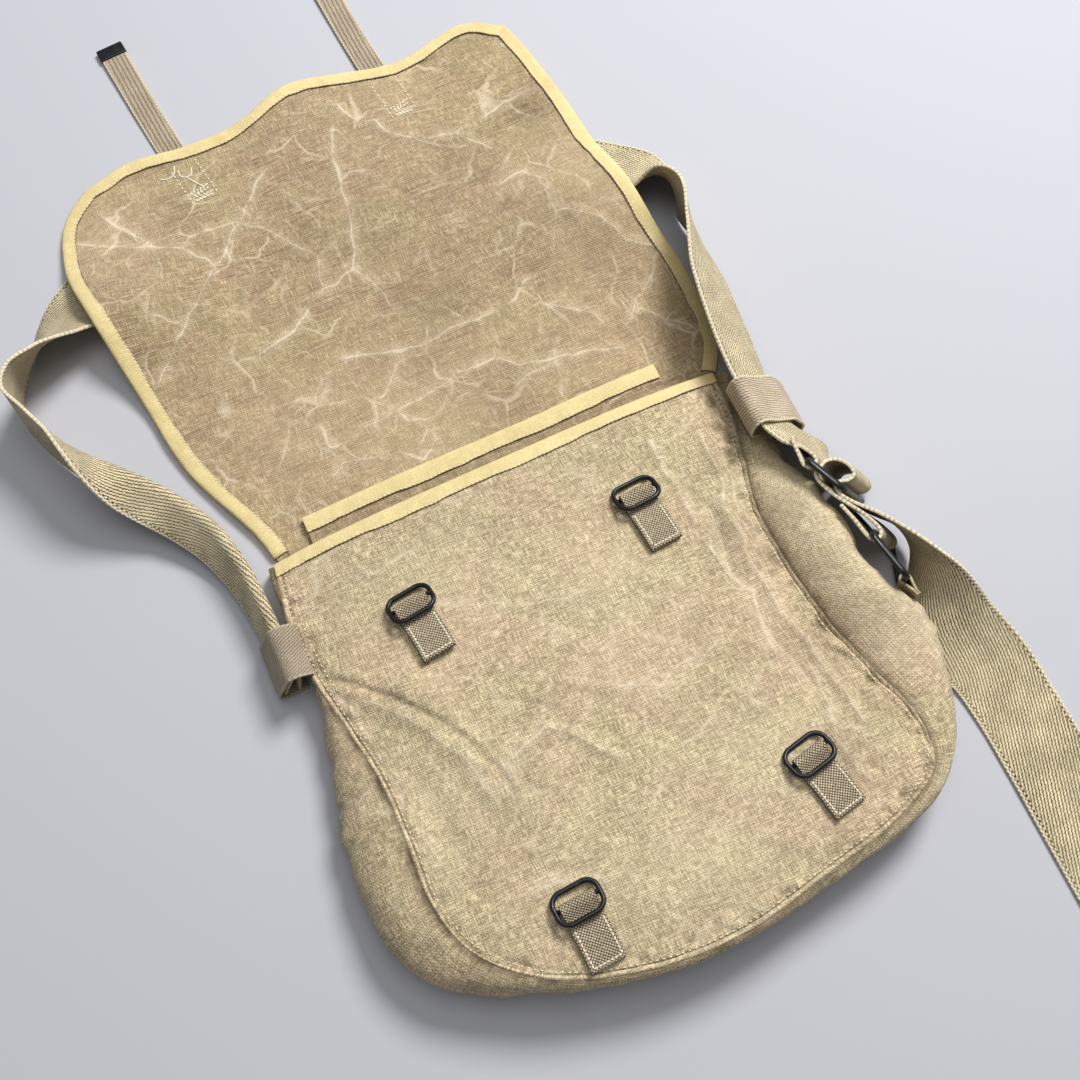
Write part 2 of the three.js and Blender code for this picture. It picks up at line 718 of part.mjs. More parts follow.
// Tabs and slides on the front
const tabBarHeight = 4;
const tabFlat = 7;
const slideTilt = -0.34;
const slideLength = 25;
const slideCorner = 5.2;
for (const row of tabRows) {
  const length = Math.hypot(row.barX - row.endX, row.barY - row.endY);
  const profile = loopProfile({
    length, layer: narrowWebbing, barRadius: slideBar / 2, barHeight: tabBarHeight, flatFrom: tabFlat,
  });
  const frame = frontFrame(row, length);
  const extrusion = { depth: narrowWidth, bevelEnabled: false, curveSegments: loopSides };
  const tab = new THREE.ExtrudeGeometry(profile, extrusion);
  tab.translate(0, 0, -narrowWidth / 2).rotateX(Math.PI / 2).rotateZ(-Math.PI / 2).applyMatrix4(frame);
  addPiece(`tab_${row.name}`, geometryOf(solidOf(tab)), narrowTan);
  const slide = slideGeometry(slideLength, slidePitch, slideCorner, slideWire, slideBar);
  slide.rotateX(slideTilt).translate(0, 0, tabBarHeight).applyMatrix4(frame);
  addPiece(`slide_${row.name}`, slide, blackEnamel);
}

// Webbing along rows, whose two halves may lean apart at a lengthwise crease
const creaseHalf = 1.8;
function webbing(rows, width, thickness) {
  const route = through(rows.map((row) => new THREE.Vector3(row.x, row.y, row.z)));
  const leaning = through(rows.map((row) => new THREE.Vector3(row.low, row.high, 0)));
  const count = (rows.length - 1) * webbingSteps;
  const slight = 0.02;
  const middle = (i, j) => {
    const row = j / webbingSteps;
    const point = route(row);
    const run = route(row + slight).sub(route(row - slight));
    const left = new THREE.Vector3(-run.y, run.x, 0).normalize();
    const lean = leaning(row);
    const toward = (degrees) => {
      const angle = THREE.MathUtils.degToRad(degrees);
      return left.clone().multiplyScalar(Math.cos(angle)).addScaledVector(up, Math.sin(angle));
    };
    const side = i < 2 ? 1 : -1;
    const share = i === 0 || i === 3 ? 1 : 0;
    point.addScaledVector(toward((lean.x + lean.y) / 2), side * creaseHalf);
    const reach = side * share * (width / 2 - creaseHalf);
    return point.addScaledVector(toward(side > 0 ? lean.x : lean.y), reach);
  };
  return wall(3, count, middle, thickness);
}

function onEdge(rows, lean) {
  return rows.map((row) => ({ ...row, z: strapHardwareHeight, low: lean, high: lean }));
}
addPiece(
  'shoulder_strap',
  leanOver(webbing([...strapRows, ...onEdge(strapEndRows, -90)], strapWidth, strapWebbing)),
  strapTan,
);
const freeTail = tailRows.map((row) => ({ ...row, low: row.lean, high: row.lean }));
addPiece(
  'tail_strap',
  leanOver(webbing([...onEdge(tailFoldRows, 90), ...freeTail], strapWidth, strapWebbing)),
  strapTan,
);

// Slide and ring of the strap
function standing(geometry, plan) {
  const along = new THREE.Vector3(plan.alongX, plan.alongY, 0).normalize();
  const frame = new THREE.Matrix4().makeBasis(up, along, up.clone().cross(along));
  return leanOver(geometry.applyMatrix4(frame.setPosition(plan.x, plan.y, strapHardwareHeight)));
}
const strapSlot = strapWidth + strapWire + strapPlay;
const strapCorner = 5;
addPiece(
  'strap_slide',
  standing(slideGeometry(strapSlot, strapSlidePitch, strapCorner, strapWire, strapWire), strapSlidePlan),
  blackEnamel,
);
addPiece(
  'end_ring',
  standing(wireLoop(strapSlot, 2 * ringPitch, strapCorner, strapWire), ringPlan),
  blackEnamel,
);

// Tab that ties the ring to the gusset
const ringTab = new THREE.ExtrudeGeometry(
  loopProfile({
    length: ringTabLength,
    layer: canvas,
    barRadius: strapWire / 2,
    barHeight: canvas,
    flatFrom: ringTabFlat,
  }),
  { depth: ringTabHeight, bevelEnabled: false, curveSegments: loopSides },
);
const ringTabAlong = new THREE.Vector3(ringTabHeading.x, ringTabHeading.y, 0).normalize();
ringTab.translate(0, -canvas, -ringTabHeight / 2);
ringTab.applyMatrix4(new THREE.Matrix4()
  .makeBasis(ringTabAlong, up.clone().cross(ringTabAlong), up)
  .setPosition(ringPlan.x, ringPlan.y - ringPitch, strapHardwareHeight));
addPiece('ring_tab', leanOver(geometryOf(solidOf(ringTab))), frontCanvas);

// Keepers across the strap
for (const [side, { middleY, rows }] of Object.entries(keeperRoutes)) {
  const route = through(rows.map((row) => new THREE.Vector3(row.x, middleY, row.z)));
  const band = wall(1, (rows.length - 1) * keeperSteps, (i, j) => {
    const point = route(j / keeperSteps);
    point.y += (i - 0.5) * keeperLength;
    return point;
  }, narrowWebbing);
  addPiece(`keeper_${side}`, band, narrowTan);
}

// Closing straps with their metal tips
for (const [side, rows] of Object.entries(closingRoutes)) {
  const flat = rows.map((row) => ({ ...row, low: 0, high: 0 }));
  addPiece(`closing_strap_${side}`, webbing(flat, narrowWidth, narrowWebbing), narrowTan);
  const [before, end] = rows.slice(-2);
  const along = new THREE.Vector3(end.x - before.x, end.y - before.y, 0).normalize();
  const half = tipSlot / 2 + tipWall;
  const clip = new THREE.Shape();
  clip.moveTo(0, -half);
  clip.lineTo(tipLength, -half);
  clip.lineTo(tipLength + tipWall, 0);
  clip.lineTo(tipLength, half);
  clip.lineTo(0, half);
  clip.lineTo(0, tipSlot / 2);
  clip.lineTo(tipLength - tipWall, tipSlot / 2);
  clip.lineTo(tipLength - tipWall, -tipSlot / 2);
  clip.lineTo(0, -tipSlot / 2);
  clip.closePath();
  const width = narrowWidth + tipPlay;
  const tip = new THREE.ExtrudeGeometry(clip, { depth: width, bevelEnabled: false });
  const across = up.clone().cross(along).negate();
  tip.translate(-tipLength + tipWall + gap, 0, -width / 2);
  tip.applyMatrix4(new THREE.Matrix4().makeBasis(along, up, across).setPosition(end.x, end.y, end.z));
  addPiece(`strap_tip_${side}`, geometryOf(solidOf(tip)), blackEnamel);
}

export default bag;
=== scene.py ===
"""Faded canvas shoulder bag that lies on its back with the flap thrown open.

Each piece of cloth, webbing and wire is modelled over the solid that it stands for.
Tables are in millimetres: X is the bag's right side seen from above, Y runs from its bottom to its flap.
"""

import math
from types import SimpleNamespace

import bpy
import numpy as np
from bpy.props import FloatProperty, FloatVectorProperty, PointerProperty
from bpy.types import Operator, Panel, PropertyGroup
from mathutils import Matrix, Vector
from mathutils.bvhtree import BVHTree


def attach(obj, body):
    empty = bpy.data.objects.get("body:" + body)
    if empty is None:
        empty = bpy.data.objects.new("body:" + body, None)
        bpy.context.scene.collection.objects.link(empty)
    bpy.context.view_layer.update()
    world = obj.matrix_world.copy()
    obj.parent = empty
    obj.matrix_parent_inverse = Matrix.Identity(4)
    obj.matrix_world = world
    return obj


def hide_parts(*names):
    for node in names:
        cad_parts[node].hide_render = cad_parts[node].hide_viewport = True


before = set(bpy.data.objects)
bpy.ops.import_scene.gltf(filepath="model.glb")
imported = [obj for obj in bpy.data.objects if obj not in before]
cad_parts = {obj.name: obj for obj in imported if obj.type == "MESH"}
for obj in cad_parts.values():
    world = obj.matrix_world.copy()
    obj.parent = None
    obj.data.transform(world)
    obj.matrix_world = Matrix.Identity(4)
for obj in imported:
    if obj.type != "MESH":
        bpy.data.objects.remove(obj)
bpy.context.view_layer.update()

bl_info = {
    "name": "Canvas shoulder bag",
    "version": (1, 0, 0),
    "blender": (4, 5, 0),
    "location": "View3D > Sidebar > Bag",
    "description": "Builds a faded canvas shoulder bag with an open flap, piece by piece",
    "category": "Object",
}

MM = 0.001
UP = np.array([0.0, 0.0, 1.0])

# Clearances between the pieces, and the middle of the cloth that lies on the floor
GAP = 0.35
TAPE_RISE = 0.5
BACK_LEVEL = 0.7

# Marks of cloth that has no crease, faded patch, painted light or painted seam shade
FAR_OFF = 30.0
PLAIN_MARKS = {"crease": FAR_OFF, "fade_and_painted_light": 0, "seam": FAR_OFF}

# Seam sections from the mouth's left end to its right: front x, y, z, back x, y, gusset bulge and lift
SEAM_ROWS = np.array([
    (-146, 115, 15, -143, 120, 4, 0),
    (-150, 80, 20, -146, 80, 3, 0),
    (-149, 44, 23, -146, 44, 2, 0),
    (-142, 8, 26, -146, 6, 13, 2),
    (-136, -26, 30, -147, -30, 22, 3),
    (-135, -64, 34, -148, -68, 26, 4),
    (-135, -98, 37, -146, -102, 25, 4),
    (-126, -126, 38, -130, -126, 19, 3),
    (-98, -153, 38, -100, -145, 10, 1),
    (-50, -171, 38, -52, -158, 7, 0),
    (0, -176, 38, 0, -162, 7, 0),
    (55, -168, 38, 55, -158, 8, 0),
    (110, -156, 38, 106, -146, 12, 1),
    (136, -141, 37, 130, -128, 15, 3),
    (141, -113, 36, 146, -102, 27, 7),
    (133, -84, 34, 148, -78, 37, 17),
    (124, -44, 31, 147, -46, 23, 30),
    (121, 26, 26, 146, 22, 21, 27),
    (130, 60, 22, 146, 56, 13, 9),
    (138, 90, 19, 144, 90, 15, 3),
    (141, 120, 15, 143, 120, 8, 0),
], float)
LEFT_CORNER = 7
RIGHT_CORNER = 13
LAST_SEAM = len(SEAM_ROWS) - 1
MOUTH_BOW = 2
MOUTH_RISE = 6
FRONT_BELLY = 4
FRONT_WIDTH = 275
FRONT_LENGTH = 275
SEAM_STITCH = 3.4

# Width of the binding tape, and its uneven edge: height, size and seed of the ripples
MOUTH_TAPE = 7.6
FLAP_TAPE = 7.4
POCKET_TAPE = 8.8
TAPE_EXTRA = 0.6
TAPE_WAVES = [(0.45, 11, 51), (0.2, 4, 52), (0.7, 42, 54)]

# Steps from stitch to stitch
BINDING_STEP = 2.7
TAB_STEP = 2.3
SEAM_STEP = 3.5
PATCH_STEP = 3.4
ZIGZAG_STEP = 2.4
LOOSE_STEP = 1.2
POCKET_STEP = 3.0

# Broad folds of the front: from x, y, to x, y, width and height
FRONT_FOLDS = [
    (-140, 30, -102, 13, 11, 2.3),
    (-102, 13, -72, -67, 12, 2.5),
    (-118, -40, -112, -100, 9, -3),
    (102, 62, 100, -20, 10, 3),
    (104, -10, 116, -100, 11, -3.5),
    (-30, -150, 40, -140, 16, 2),
]

# Sharp valley from the left seam, how dark its painted shadow line is at its two ends, and its depth and
# width
VALLEY = [
    (-143, 38), (-134, 34), (-127, 28), (-118, 17), (-104, 2),
    (-94, -11), (-88, -21), (-82, -34), (-77, -46), (-73, -64),
]
VALLEY_SHADOW = (0.7, 0.2)
VALLEY_DEPTH = 1.6
VALLEY_WIDTH = 2.1

# Ripples and seam puckers of the front: height, size and seed. The puckers grow toward the right side
FRONT_WAVES = [(0.9, 34, 1), (0.45, 15, 2), (0.2, 7, 3)]
FRONT_PUCKERS = [(1, 8, 4), (0.7, 4, 9)]
PUCKER_HEIGHTS = (1.45, 0.8)
FRONT_RIGHT = (60, 112)

# Finer folds of the front: width, height and the points that the fold follows
FRONT_CREASES = [
    (5.0, 1.5, [(-139, 27), (-126, 17), (-112, 2), (-102, -14), (-95, -28), (-88, -46), (-82, -64)]),
    (2.2, 1.0, [(-75, -46), (-73, -58), (-70, -68)]),
    (3.0, 1.2, [(-67, -43), (-44, -36), (-14, -68)]),
    (3.0, -1.0, [(-68, -50), (-66, -62), (-60, -70)]),
    (3.2, 2.4, [(113, 83), (109, 56), (102, 17), (102, -23), (110, -66), (113, -104)]),
    (4.0, -2.0, [(96, 40), (90, 0), (93, -40), (100, -80)]),
    (2.4, 1.5, [(84, 20), (92, -20), (90, -52)]),
    (2.4, 1.5, [(104, -70), (96, -110), (100, -136)]),
    (2.6, 1.8, [(118, 60), (112, 30), (111, 6)]),
    (2.6, 1.6, [(82, 92), (86, 62), (84, 36)]),
    (4.0, 0.8, [(-120, 98), (-96, 84), (-60, 92)]),
    (5.0, 0.7, [(-40, 40), (0, 22), (34, 30)]),
    (5.0, 0.7, [(-20, -20), (24, -44), (60, -34)]),
    (4.0, 0.8, [(-112, -122), (-84, -112), (-52, -118)]),
]

# Dark patches of the front, partly dirt and partly painted shade near the right seam and the lower right tab,
# and faded patches: x, y, reach and amount
FRONT_SOIL_AND_SHADE = [
    (0, 96, 44, 0.12),
    (-70, 92, 36, 0.1),
    (64, 104, 36, 0.12),
    (-66, -58, 13, 0.3),
    (98, 22, 18, 0.26),
    (104, -58, 20, 0.32),
    (96, -114, 18, 0.34),
    (114, 62, 14, 0.32),
    (118, 0, 14, 0.3),
    (62, -20, 24, 0.14),
]
FRONT_FADE = [
    (-10, -135, 56, 0.35),
    (-104, -50, 34, 0.4),
    (20, 20, 44, 0.25),
    (-60, 66, 34, 0.2),
    (60, -100, 30, 0.3),
]

# Side edges of the flap from the hinge to the far corners, and its wavy far edge
FLAP_LEFT = [
    (-143, 120), (-148, 141), (-172, 198), (-181, 250), (-189, 302), (-196, 358), (-187, 392), (-168, 410),
]
FLAP_RIGHT = [(143, 120), (158, 148), (161, 196), (153, 232), (147, 276), (147, 344), (141, 388), (134, 416)]
FLAP_FAR = [
    (-168, 410), (-135, 419), (-98, 416), (-60, 418), (-20, 431),
    (12, 427), (58, 421), (108, 429), (134, 416),
]
FLAP_EDGE_START = 0.03
HINGE_Y = 120
FLAP_HEIGHT = 4.4
FLAP_LOWEST = 0.75
FLAP_WAVES = [(0.75, 38, 11), (0.5, 17, 12), (0.22, 8, 13)]
FLAP_EDGE_RISE = 3
FLAP_EDGE_RUN = 8
FLAP_EDGE_FROM = 125
FLAP_EDGE_FULL = 144
FLAP_RAMP_START = 152
FLAP_RAMP_END = 212

# Places where the flap is raised: x, y, reach along x and y, and height
FLAP_HUMPS = [
    (-190, 308, 60, 36, 25),
    (150, 261, 85, 44, 25.5),
    (-20, 425, 46, 46, 5),
    (112, 415, 40, 40, 4),
    (-60, 250, 60, 60, 2),
    (60, 200, 50, 50, 2),
]

# Worn creases of the flap's inner side
FLAP_CREASES = [
    [(-57, 376), (-84, 349), (-110, 319), (-132, 295), (-168, 259)],
    [(-163, 388), (-152, 368), (-140, 350), (-127, 344), (-110, 349), (-84, 349)],
    [(-183, 374), (-167, 362), (-140, 350)],
    [(-127, 344), (-113, 329), (-110, 319)],
    [(-82, 346), (-69, 333), (-59, 317), (-47, 304), (-53, 278)],
    [(-2, 391), (-12, 366), (-15, 339), (-24, 301), (-30, 284)],
    [(-30, 284), (-53, 278), (-84, 258), (-103, 253), (-122, 251)],
    [(-30, 284), (-22, 269), (-18, 252)],
    [(7, 402), (12, 391), (25, 383), (29, 372), (37, 364), (54, 357), (70, 353), (103, 359), (128, 365)],
    [(70, 353), (77, 345), (86, 334)],
    [(65, 228), (53, 221), (39, 218), (8, 220), (-13, 216), (-34, 221), (-58, 228)],
    [(74, 207), (85, 201), (94, 194), (98, 186)],
    [(150, 214), (143, 204), (128, 193), (112, 179)],
    [(27, 191), (39, 181), (56, 175), (69, 175), (99, 167)],
    [(30, 168), (40, 172), (61, 171)],
    [(27, 191), (-2, 189), (-41, 182), (-61, 180), (-88, 177), (-90, 190)],
    [(-48, 195), (-36, 206), (-30, 211)],
    [(79, 302), (97, 303), (106, 288), (99, 261), (92, 247)],
    [(99, 261), (110, 256), (125, 243), (134, 225), (150, 216)],
    [(149, 158), (124, 184), (112, 179)],
    [(-92, 161), (-85, 165), (-74, 163), (-63, 160)],
    [(-49, 155), (-40, 146), (-30, 154)],
    [(-41, 181), (-38, 173), (-31, 172)],
]

# Dark patches of the flap: x, y, reach and amount
FLAP_SOIL = [
    (127, 352, 16, 0.8),
    (122, 324, 14, 0.5),
    (73, 320, 26, 0.35),
    (103, 260, 22, 0.45),
    (113, 228, 16, 0.4),
    (-12, 252, 16, 0.6),
    (8, 235, 16, 0.5),
    (-56, 312, 24, 0.35),
    (-14, 210, 18, 0.5),
    (132, 172, 16, 0.3),
    (-150, 300, 30, 0.3),
    (20, 160, 26, 0.45),
    (10, 300, 60, 0.3),
    (-40, 350, 40, 0.2),
]

# Faded patches of the flap: x, y, reach and amount
FLAP_FADE = [
    (-30, 175, 50, 0.55),
    (70, 185, 40, 0.35),
    (135, 240, 40, 0.5),
    (120, 300, 30, 0.4),
    (-110, 190, 40, 0.35),
    (-150, 380, 40, 0.25),
    (-172, 372, 20, 0.4),
    (20, 395, 40, 0.25),
]

# Loose ends of thread on the flap
LOOSE_THREADS = [
    [(-121, 400), (-116, 398), (-111, 400), (-109, 405)],
    [(-108, 401), (-107, 396), (-101, 395), (-99, 400)],
    [(-104, 394), (-100, 388), (-97, 384)],
]

# Flat divided pocket on the back panel
POCKET_LEFT = -121
POCKET_RIGHT = 114
POCKET_DIVISION = 22
POCKET_TOP_LEFT = 140
POCKET_TOP_RIGHT = 145
POCKET_BOTTOM = -5
POCKET_HEIGHT = 4.1
POCKET_PUFF = 1.8
POCKET_CLOTH = 1.2

# Buckle tabs on the front: name, the slide's middle bar x, y and the sewn end x, y
TABS = [
    ("upper_left", -83, 56, -79, 23),
    ("upper_right", 60, 64, 63, 29),
    ("lower_left", -67, -127, -65, -161),
    ("lower_right", 76, -110, 83, -144),
]
TAB_BAR_HEIGHT = 4
TAB_FLAT = 7
SLIDE_TILT = -0.31
SLIDE_LENGTH = 25
SLIDE_CORNER = 5.2
SLIDE_WIRE = 2.8
SLIDE_GROWTH = (0.6, 1.2)
SLIDE_BAR = 2.6
SLIDE_PITCH = 7.6

# Closing straps on the flap's far edge, from the sewn end to the metal tip
CLOSING_ROUTES = {
    "left": [(-100, 384, 1.8), (-106, 418, 1), (-111, 455, 1.1), (-115, 490, 1.6), (-118, 516, 1.9)],
    "right": [(44, 391, 2.8), (40, 425, 1.9), (37, 460, 1.2), (35, 496, 1.6), (34, 524, 1.9)],
}
CLOSING_WIDTH = 17.6
TIP_LENGTH = 9.7
TIP_HEIGHT = 3.7
TIP_PLAY = 1
TIP_START = -7.95

# Shoulder strap: middle of the webbing, and the lean of its lower and upper half in degrees
STRAP_ROWS = [
    (-157, 45, 27, -80, -250), (-157, 62, 27, -80, -250), (-158, 92, 26.5, -78, -246),
    (-161, 122, 25.5, -74, -238), (-168, 150, 24.5, -68, -224), (-182, 176, 24, -62, -208),
    (-199, 198, 24.5, -62, -176), (-217, 217, 25, -66, -128), (-233, 235, 26, -75, -93),
    (-245, 254, 26, -84, -84), (-250, 270, 26, -86, -86), (-244, 286, 25.5, -80, -80),
    (-230, 299, 23.5, -64, -64), (-214, 313, 17, -38, -38), (-195, 328, 8.6, -14, -14),
    (-176, 339, 3.8, -5, -5), (-145, 346, 1.3, 0, 0), (-85, 348, 1.3, 0, 0),
    (-25, 343, 1.3, 0, 0), (35, 333, 1.3, 0, 0), (90, 316, 1.3, 0, 0),
    (127, 300, 3.4, -4, -4), (149, 285, 7.6, -13, -13), (165, 272, 12, -22, -22),
    (175, 256, 22, -57, -57), (174.5, 234, 27, -84, -84), (172.5, 209, 27, -70, -70),
    (167, 176, 27, -56, -52), (163, 148, 27, -54, -48), (161, 120, 27.5, -58, -42),
    (161, 104, 28, -63, -38), (162, 68, 28.3, -63, -38), (162.4, 55, 29.6, -74, -56),
    (162.7, 45, 31, -87, -82),
]
STRAP_END = [(155.6, 41), (156.6, 53)]
STRAP_SLIDE = (164, 24)
STRAP_SLIDE_ALONG = (0.38, -0.925)
STRAP_SLIDE_PITCH = 13
RING = (171, -32)
RING_ALONG = (0, -1)
RING_PITCH = 15
HARDWARE_HEIGHT = 31
STRAP_WIRE = 4
STRAP_PLAY = 2.5
STRAP_CORNER = 5
WRAP_RADIUS = 4.2
STRAP_WRAP = (22, -158)
TAIL_WRAP = (180, 360)
WRAP_STEPS = 5

# Tail strap on edge, folded round the ring and through the slide, and the free tail with its lean
TAIL_START = [(162.4, 5), (165, -6)]
TAIL_FOLD = [
    (172, -6), (167, 3), (162.8, 10), (159.6, 17.5), (158, 23.5), (158.9, 27.7), (162.3, 29.2),
    (167.5, 31.5), (173.5, 30), (178, 24.5), (178.3, 18), (173.5, 16.2), (168, 17.6), (165.1, 15.6),
    (165.2, 11), (168.3, 5.5), (173.5, -1), (180.5, -9.5),
]
TAIL_ROWS = [
    (186, -25, 29, 80), (188, -48, 21.5, 56), (195, -78, 12.2, 24), (205, -105, 4.6, 7),
    (208, -130, 1.3, 0), (208.5, -160, 1.3, 0), (208, -200, 1.3, 0), (207.5, -236, 1.3, 0),
    (207.5, -264, 1.3, 0),
]

# Lean of the strap's hardware, which fades out toward the keeper and down the tail
LEAN_ANGLE = math.radians(28)
LEAN_TOP = 56
LEAN_INWARD = 6
LEAN_LOWER = 4
LEAN_FROM_X = 100
LEAN_KEEPER = (48, 72)
LEAN_TAIL = (-75, -18)

# Keepers in the plane across the strap: middle y and points x, z
KEEPER_LENGTH = 32
KEEPERS = {
    "left": (60, [
        (-147, 24.6), (-151, 28.8), (-156.5, 31.9), (-161.2, 30.6), (-165.4, 21), (-169.8, 11),
        (-170.7, 6.3), (-168, 2.2), (-162, 0.9), (-154, 0.9),
    ]),
    "right": (85, [
        (145, 24), (140.6, 26.4), (138.2, 31.5), (138, 39), (139.6, 45), (143.8, 46.6), (153, 38.8),
        (162.4, 31.6), (167.5, 27.4), (173, 18.5), (178.8, 6.8), (177.6, 2.1), (172, 0.9), (160, 0.9),
    ]),
}

# Gusset: ripples as height, size and seed, where its two sides begin and are full, and their dents. The left
# side also carries painted shade and the right side painted light
GUSSET_WAVES = [(1.5, 26, 41), (0.35, 6, 43)]
GUSSET_RIGHT = (80, 125)
GUSSET_ABOVE = (-120, -60)
GUSSET_LEFT = (60, 125)
GUSSET_DENTS = (2.6, 1.8)

# Rows, columns and steps of the grids that the cloth is made of
FLAP_COLUMNS = 196
BACK_ROWS = 24
FLAP_ROWS = 178
POCKET_COLUMNS = 120
POCKET_ROWS = 74
GUSSET_STEP = 1.9
GUSSET_ROWS = 34
STRAP_STEP = 1.7
STRAP_COLUMNS = 25
KEEPER_STEP = 1.2
CLOSING_STEP = 1.5
CLOSING_COLUMNS = 19
TAB_COLUMNS = 21
TAPE_POINTS = 150
MOUTH_POINTS = 170
FLAP_SIDE_POINTS = 140

# Canvas tab that ties the ring to the gusset
RING_TAB_HEIGHT = 36
RING_TAB_LENGTH = 11
RING_TAB_FLAT = 7.7
RING_TAB_HEADING = (0.12, -0.99)

# Camera of the photograph
CAMERA_PLACE = (-101.52, -147.33, 703.89)
CAMERA_AZIMUTH = -25.513
CAMERA_ELEVATION = 71
CAMERA_ROLL = 1
CAMERA_LENS = 41.667
CAMERA_SENSOR = 36

# Floor, and the lamps' place, size and power, in metres and watts
FLOOR_SIZE = 8
FLOOR_LEVEL = -0.0002
LAMPS = {
    "key": ((1.15, 0.9, 1.75), 0.8, 62),
    "overhead": ((0.1, 0.25, 2.3), 1.6, 17),
}
LAMP_TARGET = (0.0, 0.1, 0.0)
SKY_TINT = (0.9, 0.95, 1.0, 1)
SKY_POWER = 0.24

# Canvases: tones, and shares of worn creases, crackle, scratches and grain. The two tints change in patches
CANVASES = {
    "front canvas": ("front", 0.7, 0.45, 0.4, 0.8),
    "flap canvas": ("flap", 0.95, 0.6, 1.0, 0.62),
}
GREEN_TINT = (0.965, 0.98, 0.895, 1)
PINK_TINT = (1.0, 0.94, 0.925, 1)
CANVAS_THREAD = 0.95
TAPE_THREAD = 0.8

# Webbings: tones, share of the selvedge, and the weave's rib, lean, dash, band and half width. The left
# keeper takes the darker closing-strap tones and less selvedge as painted shade
WEBBINGS = {
    "strap webbing": ("strap", 0.8, (2.0, 0.34, 1.9, 3.6, 25)),
    "closing strap webbing": ("closing", 0.6, (2.9, 0.03, 2.1, 1.4, CLOSING_WIDTH / 2)),
    "left keeper": ("closing", 0.25, (1.7, 0.55, 1.9, 1.2, KEEPER_LENGTH / 2)),
    "right keeper": ("band", 0.6, (1.7, 0.12, 2.4, 2.2, KEEPER_LENGTH / 2)),
}
TAB_PITCH = 1.9
METAL_CHIPS = (0.09, 0.08, 0.07, 1)


def length_property(name, description, default):
    return FloatProperty(name=name, description=description, default=default, unit="LENGTH")


def colour_property(name, description, default):
    return FloatVectorProperty(name=name, description=description, default=default, size=3, min=0, max=1,
                               subtype="COLOR")


class BagSizes(PropertyGroup):
    """Sizes of the bag that a user may change."""

    canvas: length_property("Canvas", "Thickness of the canvas", 0.0014)
    tape: length_property("Tape", "Thickness of the binding tape", 0.0008)
    strap: length_property("Strap", "Thickness of the shoulder strap", 0.002)
    strap_width: length_property("Strap width", "Width of the shoulder strap", 0.05)
    narrow: length_property("Narrow webbing", "Thickness of the tabs and keepers", 0.0016)
    narrow_width: length_property("Tab width", "Width of the buckle tabs", 0.02)
    stitch: length_property("Stitch", "Length of one stitch", 0.0021)


class BagColours(PropertyGroup):
    """Colours of the bag that a user may change."""

    front_light: colour_property("Front, light", "Light threads of the front canvas", (0.70, 0.58, 0.385))
    front_dark: colour_property("Front, dark", "Dark threads of the front canvas", (0.25, 0.19, 0.11))
    flap_light: colour_property("Flap, light", "Light threads of the flap", (0.53, 0.405, 0.245))
    flap_dark: colour_property("Flap, dark", "Dark threads of the flap", (0.215, 0.155, 0.09))
    worn: colour_property("Worn", "Worn crease lines", (0.74, 0.63, 0.46))
    # Colour of dirt, and of painted shade in creases, crevices, seams and on sides turned from the light
    soil_and_shade: colour_property("Soil", "Dark patches and seams", (0.09, 0.065, 0.037))
    tape_light: colour_property("Tape", "Straw-coloured binding tape", (0.71, 0.595, 0.30))
    tape_dark: colour_property("Tape, dark", "Stained binding tape", (0.50, 0.37, 0.17))
    strap_light: colour_property("Strap, light", "Light threads of the strap", (0.75, 0.63, 0.395))
    strap_dark: colour_property("Strap, dark", "Dark threads of the strap", (0.05, 0.036, 0.02))
    selvedge: colour_property("Selvedge", "Pale edges of the webbing", (0.79, 0.70, 0.51))
    narrow_light: colour_property("Tabs, light", "Light threads of the buckle tabs", (0.66, 0.54, 0.37))
    narrow_dark: colour_property("Tabs, dark", "Dark threads of the buckle tabs", (0.06, 0.045, 0.028))
    band_light: colour_property("Keeper, light", "Light threads of the right keeper", (0.60, 0.49, 0.35))
    band_dark: colour_property("Keeper, dark", "Dark threads of the right keeper", (0.21, 0.165, 0.108))
    # The left keeper takes these closing-strap tones too, darker as painted shade
    closing_light: colour_property("Closing, light", "Light threads of closing straps", (0.43, 0.35, 0.25))
    closing_dark: colour_property("Closing, dark", "Dark threads of closing straps", (0.18, 0.14, 0.095))
    enamel: colour_property("Enamel", "Black enamel of the slides", (0.007, 0.007, 0.008))
    thread: colour_property("Thread", "Khaki sewing thread", (0.62, 0.53, 0.36))
    pale_thread: colour_property("Pale thread", "Pale sewing thread", (0.76, 0.70, 0.54))
    floor: colour_property("Floor", "Pale floor", (0.44, 0.44, 0.47))


def settings(context):
    """Sizes in millimetres, and colours."""
    given = context.scene.bag_sizes
    sizes = {name: getattr(given, name) / MM for name in given.__annotations__}
    return SimpleNamespace(**sizes), context.scene.bag_colours


# Numbers and curves
def smooth(values, low, high):
    """Soft step from 0 at the low value to 1 at the high one."""
    share = np.clip((values - low) / (high - low), 0, 1)
    return share * share * (3 - 2 * share)


def bell(values, width):
    """Soft bump that is 1 at 0 and fades out on both sides."""
    return np.exp(-((values / width) ** 2))


def unit(vectors):
    return vectors / np.maximum(np.linalg.norm(vectors, axis=-1, keepdims=True), 1e-9)


